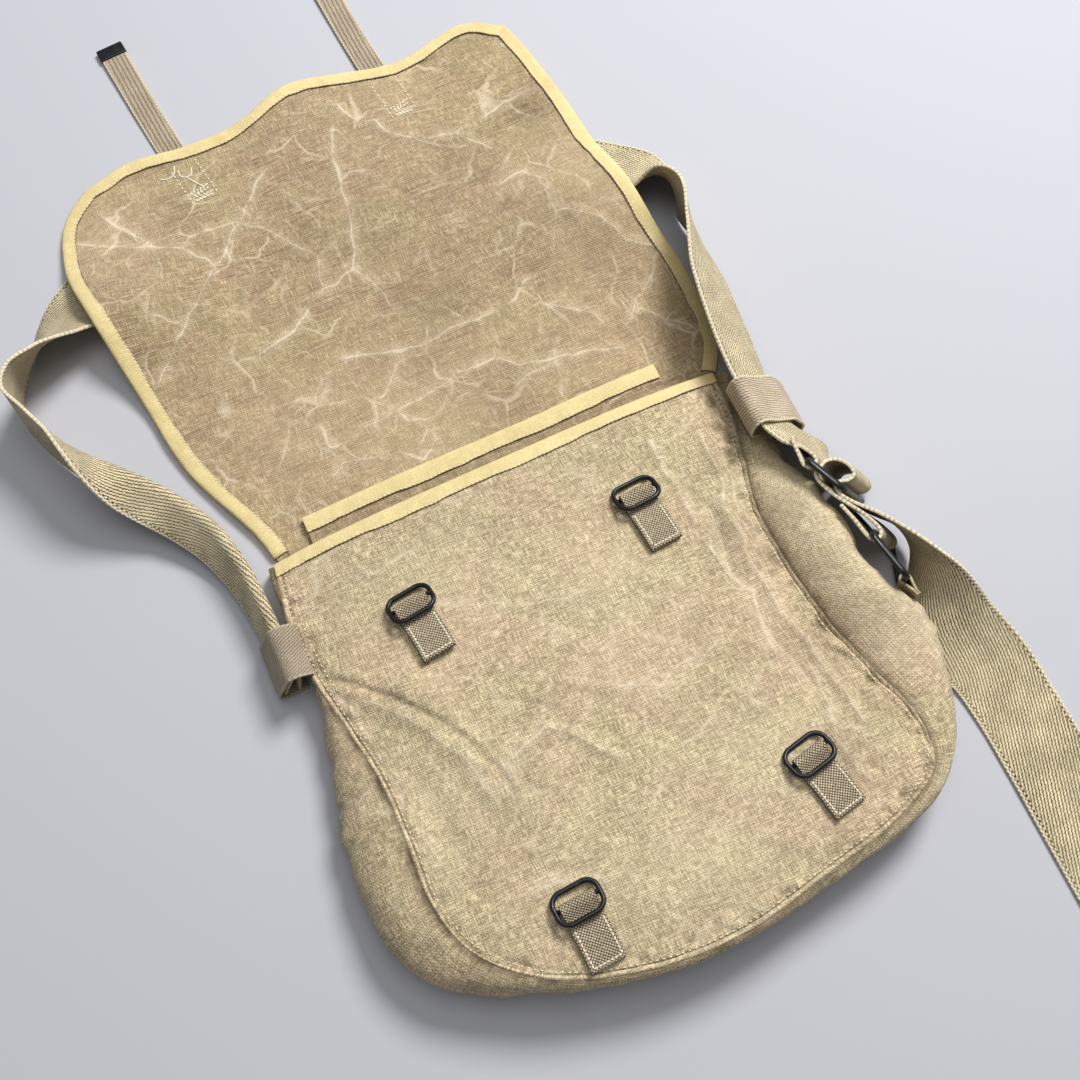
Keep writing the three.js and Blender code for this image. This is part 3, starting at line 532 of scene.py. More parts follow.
def ripple(x, y, size, seed):
    """Smooth random heights from -1 to 1, on spots that are one size apart."""
    count = 128
    heights = np.random.default_rng(seed).uniform(-1, 1, (count, count))
    across, along = np.asarray(x) / size, np.asarray(y) / size
    i, j = np.floor(across).astype(int), np.floor(along).astype(int)
    s, t = smooth(across - i, 0, 1), smooth(along - j, 0, 1)
    near = heights[i % count, j % count] * (1 - s) + heights[(i + 1) % count, j % count] * s
    far = heights[i % count, (j + 1) % count] * (1 - s) + heights[(i + 1) % count, (j + 1) % count] * s
    return near * (1 - t) + far * t


def waves(x, y, rows):
    """Sum of ripples from rows of height, size and seed."""
    return sum(height * ripple(x, y, size, seed) for height, size, seed in rows)


def wander(x, y, reach, size, seed):
    """Places moved a little aside, so that straight lines wander."""
    return x + reach * ripple(x, y, size, seed), y + reach * ripple(x, y, size, seed + 1)


def spots(x, y, rows):
    """Sum of soft spots from rows of x, y, one reach or two, and amount."""
    return sum(amount * bell(x - cx, reach[0]) * bell(y - cy, reach[-1]) for cx, cy, *reach, amount in rows)


def through(points):
    """Smooth curve through rows of numbers, read by row number."""
    points = np.asarray(points, float)
    held = np.vstack([2 * points[0] - points[1], points, 2 * points[-1] - points[-2]])
    tiny = 1e-4

    def knot(a, b):
        return np.sum((b - a) ** 2, axis=-1, keepdims=True) ** 0.25

    def at(row):
        row = np.clip(np.asarray(row, float), 0, len(points) - 1)
        k = np.minimum(row.astype(int), len(points) - 2)
        t = (row - k)[..., None]
        p0, p1, p2, p3 = (held[k + n] for n in range(4))
        d1 = knot(p1, p2)
        d1 = np.where(d1 < tiny, 1, d1)
        d0, d2 = knot(p0, p1), knot(p2, p3)
        d0, d2 = np.where(d0 < tiny, d1, d0), np.where(d2 < tiny, d1, d2)
        start = ((p1 - p0) / d0 - (p2 - p0) / (d0 + d1) + (p2 - p1) / d1) * d1
        end = ((p2 - p1) / d1 - (p3 - p1) / (d1 + d2) + (p3 - p2) / d2) * d1
        square, cube = 3 * (p2 - p1) - 2 * start - end, 2 * (p1 - p2) + start + end
        return p1 + start * t + square * t**2 + cube * t**3

    return at


def by_share(points):
    """Smooth curve through rows of numbers, read by a share from 0 to 1."""
    curve = through(points)
    return lambda share: curve(np.asarray(share) * (len(points) - 1))


def patch(left, right, near, far, u, v):
    """Surface between four edges, at shares u across it and v along it."""
    a, b = u[None, :, None], v[:, None, None]
    near_corners = (1 - a) * near(0.0) + a * near(1.0)
    far_corners = (1 - a) * far(0.0) + a * far(1.0)
    between = (1 - b) * near(u)[None] + b * far(u)[None] + (1 - a) * left(v)[:, None] + a * right(v)[:, None]
    return between - (1 - b) * near_corners - b * far_corners


def nearer(first, second):
    """Of two signed distances, the one nearer to 0."""
    return np.where(np.abs(second) < np.abs(first), second, first)


def beside(x, y, line):
    """Distance in plan from a line of points, below 0 on its right."""
    best = np.full(np.shape(x), 1e6)
    for (ax, ay), (bx, by) in zip(line, line[1:]):
        run_x, run_y = bx - ax, by - ay
        share = np.clip(((x - ax) * run_x + (y - ay) * run_y) / (run_x**2 + run_y**2), 0, 1)
        off_x, off_y = x - ax - share * run_x, y - ay - share * run_y
        best = nearer(best, np.copysign(np.hypot(off_x, off_y), run_x * off_y - run_y * off_x))
    return best


def nearest(x, y, lines):
    """Signed distance from the nearest of several lines, at most far off."""
    best = np.full(np.shape(x), FAR_OFF)
    for line in lines:
        best = nearer(best, beside(x, y, line))
    return best


def run_lengths(points):
    """Length from the start at each point of a line, or of each column of a grid."""
    steps = np.linalg.norm(np.diff(points, axis=0), axis=-1)
    return np.concatenate([np.zeros_like(steps[:1]), np.cumsum(steps, axis=0)])


def at_lengths(points, reach, places):
    """Points of a line at places along it."""
    return np.column_stack([np.interp(places, reach, column) for column in points.T])


def at_insets(grid, depth, inset):
    """Points of a grid at an inset from its edge, which may change along the edge."""
    inset = np.broadcast_to(inset, grid.shape[1:2])
    return np.concatenate([at_lengths(grid[:, k], depth, inset[k]) for k in range(len(inset))])


def even_rows(route, count, step):
    """Row numbers that lie evenly along a route, and the length at each."""
    dense = np.linspace(0, count - 1, 60 * count)
    length = run_lengths(route(dense))
    places = np.linspace(0, length[-1], max(int(length[-1] / step), 2) + 1)
    return np.interp(places, length, dense), places


def shares(length):
    """Shares from 0 to 1 along a length, with fine steps near both ends and coarse steps between them."""
    fine, coarse, edge = 0.6, 1.45, 9
    ends = np.arange(0, edge, fine)
    middle = np.linspace(edge, length - edge, int((length - 2 * edge) / coarse) + 1)
    return np.concatenate([ends, middle, length - ends[::-1]]) / length


def grid_of(along, across):
    return np.stack(np.meshgrid(along, across, indexing="ij"), axis=-1)


# Front, gusset, back and flap
front_seam = through(SEAM_ROWS[:, 0:3])
back_seam = through(np.column_stack([SEAM_ROWS[:, 3:5], np.full(len(SEAM_ROWS), BACK_LEVEL)]))
swelling = through(SEAM_ROWS[:, 5:7])
flap_left, flap_right, flap_far = by_share(FLAP_LEFT), by_share(FLAP_RIGHT), by_share(FLAP_FAR)


def seam_left(seam):
    return lambda v: seam(np.asarray(v) * LEFT_CORNER)


def seam_right(seam):
    return lambda v: seam(LAST_SEAM - np.asarray(v) * (LAST_SEAM - RIGHT_CORNER))


def seam_bottom(seam):
    return lambda u: seam(LEFT_CORNER + np.asarray(u) * (RIGHT_CORNER - LEFT_CORNER))


def straight(seam, u):
    """Straight line between the two ends of a seam."""
    return seam(0) * (1 - u) + seam(LAST_SEAM) * u


def mouth_edge(u):
    u = np.asarray(u, float)[..., None]
    return straight(front_seam, u) + (1 - (2 * u - 1) ** 4) * np.array([0, MOUTH_BOW, MOUTH_RISE])


def hinge(u):
    return straight(back_seam, np.asarray(u, float)[..., None])


def front_base(u, v):
    """Front panel with its broad folds, at shares u across it and v from the mouth to the bottom."""
    points = patch(seam_left(front_seam), seam_right(front_seam), mouth_edge, seam_bottom(front_seam), u, v)
    x, y = points[..., 0], points[..., 1]
    inside = 16 * (u * (1 - u))[None] * (v * (1 - v))[:, None]
    folds = sum(height * bell(beside(x, y, [(ax, ay), (bx, by)]), width)
                for ax, ay, bx, by, width, height in FRONT_FOLDS)
    points[..., 2] += FRONT_BELLY * inside + folds * np.minimum(2 * inside, 1)
    return points


def front_points(u, v):
    """Front panel with its fine folds, seam ridge and puckers, and the marks for its material, which include
    painted shade in its valley, seam crevices, pucker hollows and needle holes, and a painted shadow beside
    the mouth tape.
    """
    points = front_base(u, v)
    x, y = points[..., 0].copy(), points[..., 1].copy()
    below_mouth = np.broadcast_to(v[:, None] * FRONT_LENGTH, x.shape)
    inset = np.minimum(np.minimum(u, 1 - u)[None] * FRONT_WIDTH, (1 - v)[:, None] * FRONT_LENGTH)
    away = smooth(inset, 4, 22) * smooth(below_mouth, 4, 20)
    height = waves(x, y, FRONT_WAVES) * away
    wander_x, wander_y = wander(x, y, 3, 18, 5)
    for width, rise, line in FRONT_CREASES:
        height += rise * bell(beside(wander_x, wander_y, line), width) * away
    side = nearest(wander_x, wander_y, [line for _, _, line in FRONT_CREASES])
    valley = beside(*wander(x, y, 1, 14, 7), VALLEY)
    height -= VALLEY_DEPTH * bell(valley, VALLEY_WIDTH) * smooth(inset, 2, 10)
    pucker = waves(x, y, FRONT_PUCKERS) * bell(inset - 8, 6)
    ridge = 0.7 * bell(inset - 1.2, 0.9) - 0.9 * bell(inset - SEAM_STITCH, 1.1)
    right_side = smooth(x, *FRONT_RIGHT)
    pucker_height = PUCKER_HEIGHTS[0] + PUCKER_HEIGHTS[1] * right_side
    height += (ridge + pucker_height * pucker) * smooth(below_mouth, 0, 14)
    points[..., 2] += height
    # Painted shadow line along the valley, darker toward its end by the left seam
    valley_shadow = np.interp(y, (VALLEY[-1][1], VALLEY[0][1]), VALLEY_SHADOW[::-1])
    # Painted shade in the crevice along the front's seams, wider along the middle of the right seam
    crevice_shade_width = 0.65 + 1.2 * right_side * smooth(-np.abs(y), -120, -70)
    soil_and_shade = valley_shadow * bell(valley, 1.7) + 0.95 * bell(inset, crevice_shade_width) + spots(x, y, FRONT_SOIL_AND_SHADE)
    # Painted shade in the hollows of the seam puckers, stronger toward the right side
    soil_and_shade += (0.3 + 0.35 * right_side) * smooth(-pucker, 0.1, 0.9) * smooth(inset, 3, 6)
    # Painted shadow line beside the inner edge of the mouth tape, and painted shade in the needle holes of
    # the seam
    beside_tape_shadow = 1.5 * np.abs(below_mouth - MOUTH_TAPE - 0.2)
    return points, {
        "crease": np.abs(side), "side": side, "soil_and_shade": soil_and_shade, "fade_and_painted_light": spots(x, y, FRONT_FADE),
        "seam": np.minimum(np.abs(inset - SEAM_STITCH), beside_tape_shadow),
    }


def gusset_points(row, turn):
    """Gusset from the front seam to the back seam, for rows of the seam table and a turn from 0 to pi."""
    slight = 0.4
    edges, directions = [], []
    for seam in (front_seam, back_seam):
        run = seam(row + slight) - seam(row - slight)
        directions.append(unit(np.stack([run[:, 1], -run[:, 0], np.zeros(len(run))], axis=1)))
        edges.append(seam(row) + GAP * directions[-1])
    swell = swelling(row)
    share = ((1 - np.cos(turn)) / 2)[:, None, None]
    rise = np.sin(turn)[:, None, None]
    middle = edges[0][None] * (1 - share) + edges[1][None] * share
    outward = np.broadcast_to(directions[0][None], middle.shape)
    return middle + outward * swell[None, :, :1] * rise + UP * swell[None, :, 1:2] * rise, outward


def flap_level(x, y):
    """Height of the middle of the flap's cloth, without its fine creases."""
    ramp = smooth(y, FLAP_RAMP_START, FLAP_RAMP_END)
    edge = smooth(np.abs(x), FLAP_EDGE_FROM, FLAP_EDGE_FULL)
    edge_rise = FLAP_EDGE_RISE * edge * smooth(y, HINGE_Y, HINGE_Y + FLAP_EDGE_RUN)
    return BACK_LEVEL + np.maximum((FLAP_HEIGHT - BACK_LEVEL + spots(x, y, FLAP_HUMPS)) * ramp, edge_rise)


def flap_crease(x, y):
    """Signed distance from the nearest of the flap's worn creases, which wander a little."""
    return nearest(*wander(x, y, 1.6, 9, 21), FLAP_CREASES)


def flap_height(x, y):
    """Height of the flap with its creases and ripples."""
    loose = smooth(y, HINGE_Y + 6, HINGE_Y + 40)
    crease = 0.75 * bell(flap_crease(x, y), 3.2)
    ripples = np.maximum(waves(x, y, FLAP_WAVES), -0.6)
    return np.maximum(flap_level(x, y) + (crease + ripples) * loose, FLAP_LOWEST)


def flap_edge():
    """Edge of the flap up its left side, along the far edge and down its right side."""
    left = flap_left(np.linspace(FLAP_EDGE_START, 1, FLAP_SIDE_POINTS))
    right = flap_right(np.linspace(1, FLAP_EDGE_START, FLAP_SIDE_POINTS))
    return np.vstack([left, flap_far(np.linspace(0, 1, TAPE_POINTS))[1:], right[1:]])


def plan_outward(edge):
    """Directions in plan to the left of a line of points, smoothed along it."""
    run = np.gradient(edge[:, :2], axis=0)
    out = unit(np.column_stack([-run[:, 1], run[:, 0]]))
    kernel = np.ones(5) / 5
    padded = np.pad(out, ((2, 2), (0, 0)), mode="edge")
    out = np.column_stack([np.convolve(padded[:, k], kernel, mode="valid") for k in range(2)])
    return np.column_stack([unit(out), np.zeros(len(out))])


def pocket_points(x, inset):
    """Pocket at places across it and insets from its top edge."""
    share = (x - POCKET_LEFT) / (POCKET_RIGHT - POCKET_LEFT)
    top = POCKET_TOP_LEFT + (POCKET_TOP_RIGHT - POCKET_TOP_LEFT) * share
    y = top[None] - inset[:, None]
    first = np.where(x < POCKET_DIVISION, POCKET_LEFT, POCKET_DIVISION)
    last = np.where(x < POCKET_DIVISION, POCKET_DIVISION, POCKET_RIGHT)
    down = np.clip(inset[:, None] / (top - POCKET_BOTTOM)[None], 0, 1)
    puff = np.sin(math.pi * (x - first) / (last - first))[None] ** 2 * (1 - down)
    wide = np.broadcast_to(x[None], y.shape)
    return np.stack([wide, y, POCKET_HEIGHT + POCKET_PUFF * puff + 0.25 * ripple(wide, y, 12, 31)], axis=-1)


# Webbing, loops and wire
def webbing_points(rows, width, step, across):
    """Webbing along rows of x, y, z and two leans in degrees, whose halves bend apart along its middle."""
    fold, slight = 5.0, 0.02
    rows = np.asarray(rows, float)
    route, leaning = through(rows[:, :3]), through(np.column_stack([rows[:, 3:5], np.zeros(len(rows))]))
    places, length = even_rows(route, len(rows), step)
    lean = np.radians(leaning(places))
    run = route(places + slight) - route(places - slight)
    left = unit(np.stack([-run[:, 1], run[:, 0], np.zeros(len(run))], axis=1))
    offsets = np.linspace(-width / 2, width / 2, across)
    bend = np.sin(np.clip((offsets[1:] + offsets[:-1]) / 2 / fold, -1, 1) * math.pi / 2)
    angle = (lean[:, :1] + lean[:, 1:2]) / 2 + bend[None] * (lean[:, :1] - lean[:, 1:2]) / 2
    steps = left[:, None] * np.cos(angle)[..., None] + UP * np.sin(angle)[..., None]
    steps = steps * (offsets[1] - offsets[0])
    sums = np.concatenate([np.zeros((len(places), 1, 3)), np.cumsum(steps, axis=1)], axis=1)
    return route(places)[:, None] + sums - sums[:, across // 2][:, None], grid_of(length, offsets)


def lean_over(points):
    """Swings the foot of the strap's hardware outward and its top a little toward the bag."""
    x, y, z = points[..., 0], points[..., 1], points[..., 2]
    share = (1 - smooth(y, *LEAN_KEEPER)) * smooth(y, *LEAN_TAIL) * (x > LEAN_FROM_X)
    down = LEAN_TOP - z
    aside = share * (math.sin(LEAN_ANGLE) * down - LEAN_INWARD)
    lower = share * ((1 - math.cos(LEAN_ANGLE)) * down - LEAN_LOWER)
    return points + np.stack([aside, np.zeros(aside.shape), lower], axis=-1)


def round_bar(bar, bearings):
    angles = np.radians(np.linspace(bearings[0], bearings[1], WRAP_STEPS))
    return [(bar[0] + WRAP_RADIUS * math.cos(a), bar[1] + WRAP_RADIUS * math.sin(a)) for a in angles]


def on_edge(rows, lean):
    return [(x, y, HARDWARE_HEIGHT, lean, lean) for x, y in rows]


def loop_path(length, layer, bar_radius, bar_height, flat_from):
    """Line of the middle of a webbing loop round a bar, as places along it and heights."""
    middle = bar_radius + GAP + layer / 2
    parts, step = math.radians(54), 0.8
    angles = np.linspace(-math.pi / 2, parts - 2 * math.pi, 40)
    arc = np.column_stack([middle * np.cos(angles), bar_height + middle * np.sin(angles)])
    lower = [(length, layer / 2), (flat_from, layer / 2)]
    upper = [(flat_from, 1.5 * layer), (length, 1.5 * layer)]
    line = np.vstack([lower, arc, upper])
    reach = run_lengths(line)
    even = np.linspace(0, reach[-1], int(reach[-1] / step) + 1)
    path = at_lengths(line, reach, even)
    for _ in range(3):
        path[1:-1] = path[1:-1] / 2 + (path[:-2] + path[2:]) / 4
    return path, even


# Meshes
def add_mesh(primitive, **values):
    """Adds a primitive, alone selected, and gives the new object."""
    bpy.ops.object.select_all(action="DESELECT")
    primitive(**values)
    return bpy.context.object


def cloth(name, points, uv, thickness, marks=None, rim=0.3):
    """Closed sheet of cloth or webbing round a grid of middle points in millimetres."""
    rows, columns = points.shape[:2]
    piece = add_mesh(bpy.ops.mesh.primitive_grid_add, size=1, x_subdivisions=columns - 1,
                     y_subdivisions=rows - 1)
    piece.name = name
    mesh = piece.data
    mesh.name = name
    mesh.vertices.foreach_set("co", (points.reshape(-1, 3) * MM).ravel())
    corners = np.empty(len(mesh.loops), np.int32)
    mesh.loops.foreach_get("vertex_index", corners)
    mesh.uv_layers.active.data.foreach_set("uv", (uv.reshape(-1, 2)[corners] * MM).ravel())
    for label, values in (marks or {}).items():
        layer = mesh.attributes.new(label, "FLOAT", "POINT")
        layer.data.foreach_set("value", np.full((rows, columns), values, np.float32).ravel())
    mesh.update()
    wall = piece.modifiers.new("Thickness", "SOLIDIFY")
    wall.thickness = thickness * MM
    wall.offset = 0
    bpy.ops.object.modifier_apply(modifier=wall.name)
    round_edges(piece, rim, 2)
    return piece


def round_edges(piece, width, segments):
    bevel = piece.modifiers.new("Edges", "BEVEL")
    bevel.width = width * MM
    bevel.segments = segments
    bevel.limit_method = "ANGLE"
    bevel.angle_limit = math.radians(55)
    bpy.ops.object.modifier_apply(modifier=bevel.name)
    bpy.ops.object.shade_smooth()


def settle(piece, slot, material, *nodes):
    """Gives a finished piece its material, its body and the solids that it stands for."""
    piece.data.materials.clear()
    piece.data.materials.append(material)
    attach(piece, "root")
    if nodes:
        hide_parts(*nodes)


def drop(tree, x, y):
    """Point and normal where a line down at x, y meets a piece, in millimetres."""
    above = 0.3
    place, normal, _, _ = tree.ray_cast(Vector((x * MM, y * MM, above)), Vector((0, 0, -1)))
    if place is None:
        return None, None
    return np.array(place) / MM, np.array(normal)


def front_frame(row, width):
    """Frame that lies on the front at a tab: X across, Y toward the slide's upper bar, Z off the cloth."""
    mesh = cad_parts["front_panel"].data
    corners = [vertex.co.copy() for vertex in mesh.vertices]
    tree = BVHTree.FromPolygons(corners, [tuple(face.vertices) for face in mesh.polygons])
    _, bar_x, bar_y, end_x, end_y = row
    length = math.hypot(bar_x - end_x, bar_y - end_y)
    bar, end = drop(tree, bar_x, bar_y)[0], drop(tree, end_x, end_y)[0]
    to_bar = unit(bar - end)
    sideways = unit(np.array([to_bar[1], -to_bar[0], 0])) * width / 2
    right, left = drop(tree, *(bar + sideways)[:2])[0], drop(tree, *(bar - sideways)[:2])[0]
    off = unit(np.cross(unit(right - left), to_bar))
    across = np.cross(to_bar, off)
    raised = 0
    for along_share in (-0.35, 0, 0.35, 0.7, 1):
        for across_share in (-0.65, 0, 0.65):
            spot = bar - to_bar * along_share * length + across * across_share * width
            raised = max(raised, np.dot(drop(tree, spot[0], spot[1])[0] - bar, off))
    return across, to_bar, off, bar + off * (raised + GAP), length


def matrix_of(across, along, off, place):
    """Matrix in metres from three directions and a place in millimetres."""
    matrix = Matrix((across, along, off)).transposed().to_4x4()
    matrix.translation = Vector(place) * MM
    return matrix


# Nodes of the materials
def add_node(kind, inputs, **values):
    """Outputs of a new node, in the tree of the first input that is a socket."""
    tree = next(value.id_data for value in inputs.values() if isinstance(value, bpy.types.NodeSocket))
    node = tree.nodes.new(kind)
    for key, value in values.items():
        setattr(node, key, value)
    for key, value in inputs.items():
        if isinstance(value, bpy.types.NodeSocket):
            tree.links.new(value, node.inputs[key])
        else:
            node.inputs[key].default_value = value
    return node.outputs


def maths(operation, *values):
    return add_node("ShaderNodeMath", dict(enumerate(values)), operation=operation)[0]


def times(first, second):
    return maths("MULTIPLY", first, second)


def plus(first, second):
    return maths("ADD", first, second)


def weighed(value, share, rest):
    """Share of a value, added to the rest."""
    return maths("MULTIPLY_ADD", value, share, rest)


def sine(value, rate):
    return maths("SINE", times(value, rate))


def mapped(value, from_low, from_high, to_low=0.0, to_high=1.0):
    """Value brought from one range to another, and held within it."""
    labels = ("Value", "From Min", "From Max", "To Min", "To Max")
    return add_node("ShaderNodeMapRange", dict(zip(labels, (value, from_low, from_high, to_low, to_high))))[0]


def scaled(value, low, high):
    """Value from 0 to 1, brought to another range."""
    return mapped(value, 0, 1, low, high)


def noise(place, scale, detail=2.0, stretch=(1, 1, 1)):
    stretched = add_node("ShaderNodeVectorMath", {0: place, 1: stretch}, operation="MULTIPLY")[0]
    inputs = {"Vector": stretched, "Scale": scale, "Detail": detail, "Roughness": 0.6}
    return add_node("ShaderNodeTexNoise", inputs)[0]


def mixed(share, first, second, blend="MIX"):
    inputs = {0: share, 6: first, 7: second}
    return add_node("ShaderNodeMix", inputs, data_type="RGBA", blend_type=blend, clamp_factor=True)[2]


def layered(base, *layers):
    """Colour with layers of share and colour laid over it."""
    for share, colour in layers:
        base = mixed(share, base, colour)
    return base


def split(place):
    return add_node("ShaderNodeSeparateXYZ", {0: place})


def plain(colour):
    return (*colour, 1.0)


def tones(colours, name):
    """Light and dark colour of that name."""
    return plain(getattr(colours, f"{name}_light")), plain(getattr(colours, f"{name}_dark"))


def node_group(name, inputs, outputs):
    """Makes a function that fills a node group into one that adds the group, filled once, to a tree."""

    def wrap(fill):
        def add_group(place, *values):
            tree = bpy.data.node_groups.get(name)
            if not tree:
                tree = bpy.data.node_groups.new(name, "ShaderNodeTree")
                tree.interface.new_socket("Place", in_out="INPUT", socket_type="NodeSocketVector")
                for label in inputs:
                    tree.interface.new_socket(label, in_out="INPUT", socket_type="NodeSocketFloat")
                for label in outputs:
                    tree.interface.new_socket(label, in_out="OUTPUT", socket_type="NodeSocketFloat")
                given = tree.nodes.new("NodeGroupInput").outputs
                result = tree.nodes.new("NodeGroupOutput")
                for label, socket in fill(*[given[label] for label in ("Place", *inputs)]).items():
                    tree.links.new(socket, result.inputs[label])
            return add_node("ShaderNodeGroup", {"Place": place, **dict(zip(inputs, values))}, node_tree=tree)

        return add_group

    return wrap


@node_group("Canvas weave", ["Thread"], ["Grain", "Height", "Pale threads", "Dark threads"])
def canvas_weave(place, pitch):
    """Plain weave with slubby threads both ways."""
    along, across, _ = split(place)
    rate = maths("DIVIDE", math.pi, pitch)
    weave = times(sine(across, rate), sine(along, rate))
    slubs = plus(noise(place, 1.0, 1.0, (0.16, 1.75, 1)), noise(place, 1.0, 1.0, (1.75, 0.16, 1)))
    specks = weighed(noise(place, 1.5, 1.0), 0.3, slubs)
    grain = mapped(weighed(weave, 0.06, specks), 0.99, 1.31)
    threads = [noise(place, 1.0, 1.0, stretch) for stretch in ((0.1, 1.9, 1), (1.9, 0.1, 1))]
    return {
        "Grain": grain,
        "Height": weighed(weave, 0.35, grain),
        "Pale threads": mapped(maths("MAXIMUM", *threads), 0.57, 0.72),
        "Dark threads": mapped(maths("MINIMUM", *threads), 0.43, 0.28),
    }


@node_group("Faded mottling", [], ["Broad", "Small", "Streak", "Scratch", "Tint"])
def mottling(place):
    """Broad and small patches of fading, with streaks and scratches one way."""
    scratch = mapped(noise(place, 1.0, 2.0, (0.022, 1.1, 1)), 0.5, 0.6)
    scratched = mapped(noise(place, 0.03, 2.0, (1, 1.2, 1)), 0.46, 0.6)
    return {
        "Broad": mapped(noise(place, 0.014, 3.0), 0.36, 0.64),
        "Small": mapped(noise(place, 0.06, 4.0), 0.38, 0.66),
        "Streak": mapped(noise(place, 1.0, 2.0, (0.012, 0.25, 1)), 0.5, 0.72),
        "Scratch": times(scratch, scratched),
        "Tint": mapped(noise(place, 0.014, 3.0, (1, 1.3, 1)), 0.41, 0.59),
    }


@node_group("Fine creases", [], ["Line"])
def fine_creases(place):
    """Branching fine creases, broken here and there."""
    shift = add_node("ShaderNodeTexNoise", {"Vector": place, "Scale": 0.024, "Detail": 3.0})[1]
    inputs = {0: shift, 1: (36, 36, 0), 2: place}
    moved = add_node("ShaderNodeVectorMath", inputs, operation="MULTIPLY_ADD")[0]

    def edges(scale):
        cells = {"Vector": moved, "Scale": scale}
        return add_node("ShaderNodeTexVoronoi", cells, feature="DISTANCE_TO_EDGE")[0]

    broken = mapped(noise(place, 0.035, 3.0), 0.46, 0.62)
    parted = mapped(noise(place, 0.05, 3.0, (1.1, 1, 1)), 0.48, 0.64)
    coarse = times(mapped(edges(0.026), 0.006, 0.034, 1.0, 0.0), broken)
    hair = times(mapped(edges(0.07), 0.01, 0.05, 0.6, 0.0), parted)
    return {"Line": maths("MAXIMUM", coarse, hair)}


@node_group("Twill webbing", ["Rib", "Lean", "Dash", "Band", "Half width"], ["Shade", "Height", "Selvedge"])
def twill(place, rib_width, lean, dash_length, band_width, half_width):
    """Slanting ribs of short stitches, between two plainer bands with a bright selvedge."""
    along, across, _ = split(place)
    jitter = scaled(noise(place, 0.3, 2.0), -0.35, 0.35)
    rib = plus(maths("DIVIDE", weighed(along, lean, across), rib_width), jitter)
    index = maths("FLOOR", rib)
    ridge = sine(maths("SUBTRACT", rib, index), math.pi)
    dash = plus(weighed(index, 0.37, maths("DIVIDE", along, dash_length)), jitter)
    middle = maths("ABSOLUTE", maths("SUBTRACT", maths("FRACT", dash), 0.5))
    line = times(mapped(ridge, 0.85, 0.3), mapped(middle, 0.14, 0.42, 1.0, 0.2))
    rim = maths("SUBTRACT", half_width, maths("ABSOLUTE", across))
    basket = mapped(times(sine(along, 2.1), sine(across, 2.3)), -0.6, 0.5, 0.35, 1.0)
    band = mapped(rim, band_width, times(band_width, 0.8))
    height = add_node("ShaderNodeMix", {0: band, 2: maths("SUBTRACT", 1.0, line), 3: basket})[0]
    speck = mapped(noise(place, 0.8, 2.0), 0.3, 0.7)
    bead = mapped(sine(along, 2.6), -1, 1, 0.55, 1.0)
    return {
        "Shade": weighed(height, 1.7, weighed(speck, 0.6, -1.08)),
        "Height": height,
        "Selvedge": times(mapped(rim, 1.0, 1.7, 1.0, 0.0), bead),
    }


@node_group("Diamond webbing", ["Pitch"], ["Shade", "Height"])
def diamonds(place, pitch):
    """Small dots in slanting rows both ways."""
    along, across, _ = split(place)
    jitter = scaled(noise(place, 0.35, 2.0), -0.5, 0.5)
    rate = maths("DIVIDE", math.pi, pitch)
    rows = []
    for operation in ("ADD", "SUBTRACT"):
        slant = times(maths(operation, along, across), rate)
        rows.append(maths("ABSOLUTE", maths("SINE", plus(slant, jitter))))
    dots = times(*rows)
    speck = mapped(noise(place, 0.7, 2.0), 0.3, 0.7, -0.2, 0.25)
    return {"Shade": plus(mapped(dots, 0.12, 0.72), speck), "Height": dots}


def new_material(name):
    """Empty material with its tree and its shader."""
    material = bpy.data.materials.new(name)
    material.use_nodes = True
    tree = material.node_tree
    tree.nodes.clear()
    shader = tree.nodes.new("ShaderNodeBsdfPrincipled")
    result = tree.nodes.new("ShaderNodeOutputMaterial")
    tree.links.new(shader.outputs[0], result.inputs[0])
    return material, tree, shader


def cloth_place(tree):
    """Place on the cloth in millimetres."""
    uv = tree.nodes.new("ShaderNodeUVMap")
    uv.uv_map = "UVMap"
    return add_node("ShaderNodeVectorMath", {0: uv.outputs[0], 1: (1 / MM,) * 3}, operation="MULTIPLY")[0]


def object_place(tree):
    return tree.nodes.new("ShaderNodeTexCoord").outputs["Object"]


def mark(tree, name):
    node = tree.nodes.new("ShaderNodeAttribute")
    node.attribute_name = name
    return node.outputs["Fac"]


def surface(roughness, specular=0.5, sheen=0.0, bump=0.0, depth=0.0):
    """Makes a function that gives colour, height and perhaps roughness into one that builds the material."""

    def wrap(build):
        def find(name, *values):
            found = bpy.data.materials.get(name)
            if found:
                return found
            material, tree, shader = new_material(name)
            base, height, *uneven = build(tree, name, *values)
            links = {"Base Color": base, **dict(zip(["Roughness"], uneven))}
            constants = {"Roughness": roughness, "Specular IOR Level": specular, "Sheen Weight": sheen}
            if height:
                inputs = {"Height": height, "Strength": bump, "Distance": depth * MM}
                links["Normal"] = add_node("ShaderNodeBump", inputs)[0]
            for label, value in constants.items():
                shader.inputs[label].default_value = value
            for label, socket in links.items():
                tree.links.new(socket, shader.inputs[label])
            return material

        return find

    return wrap


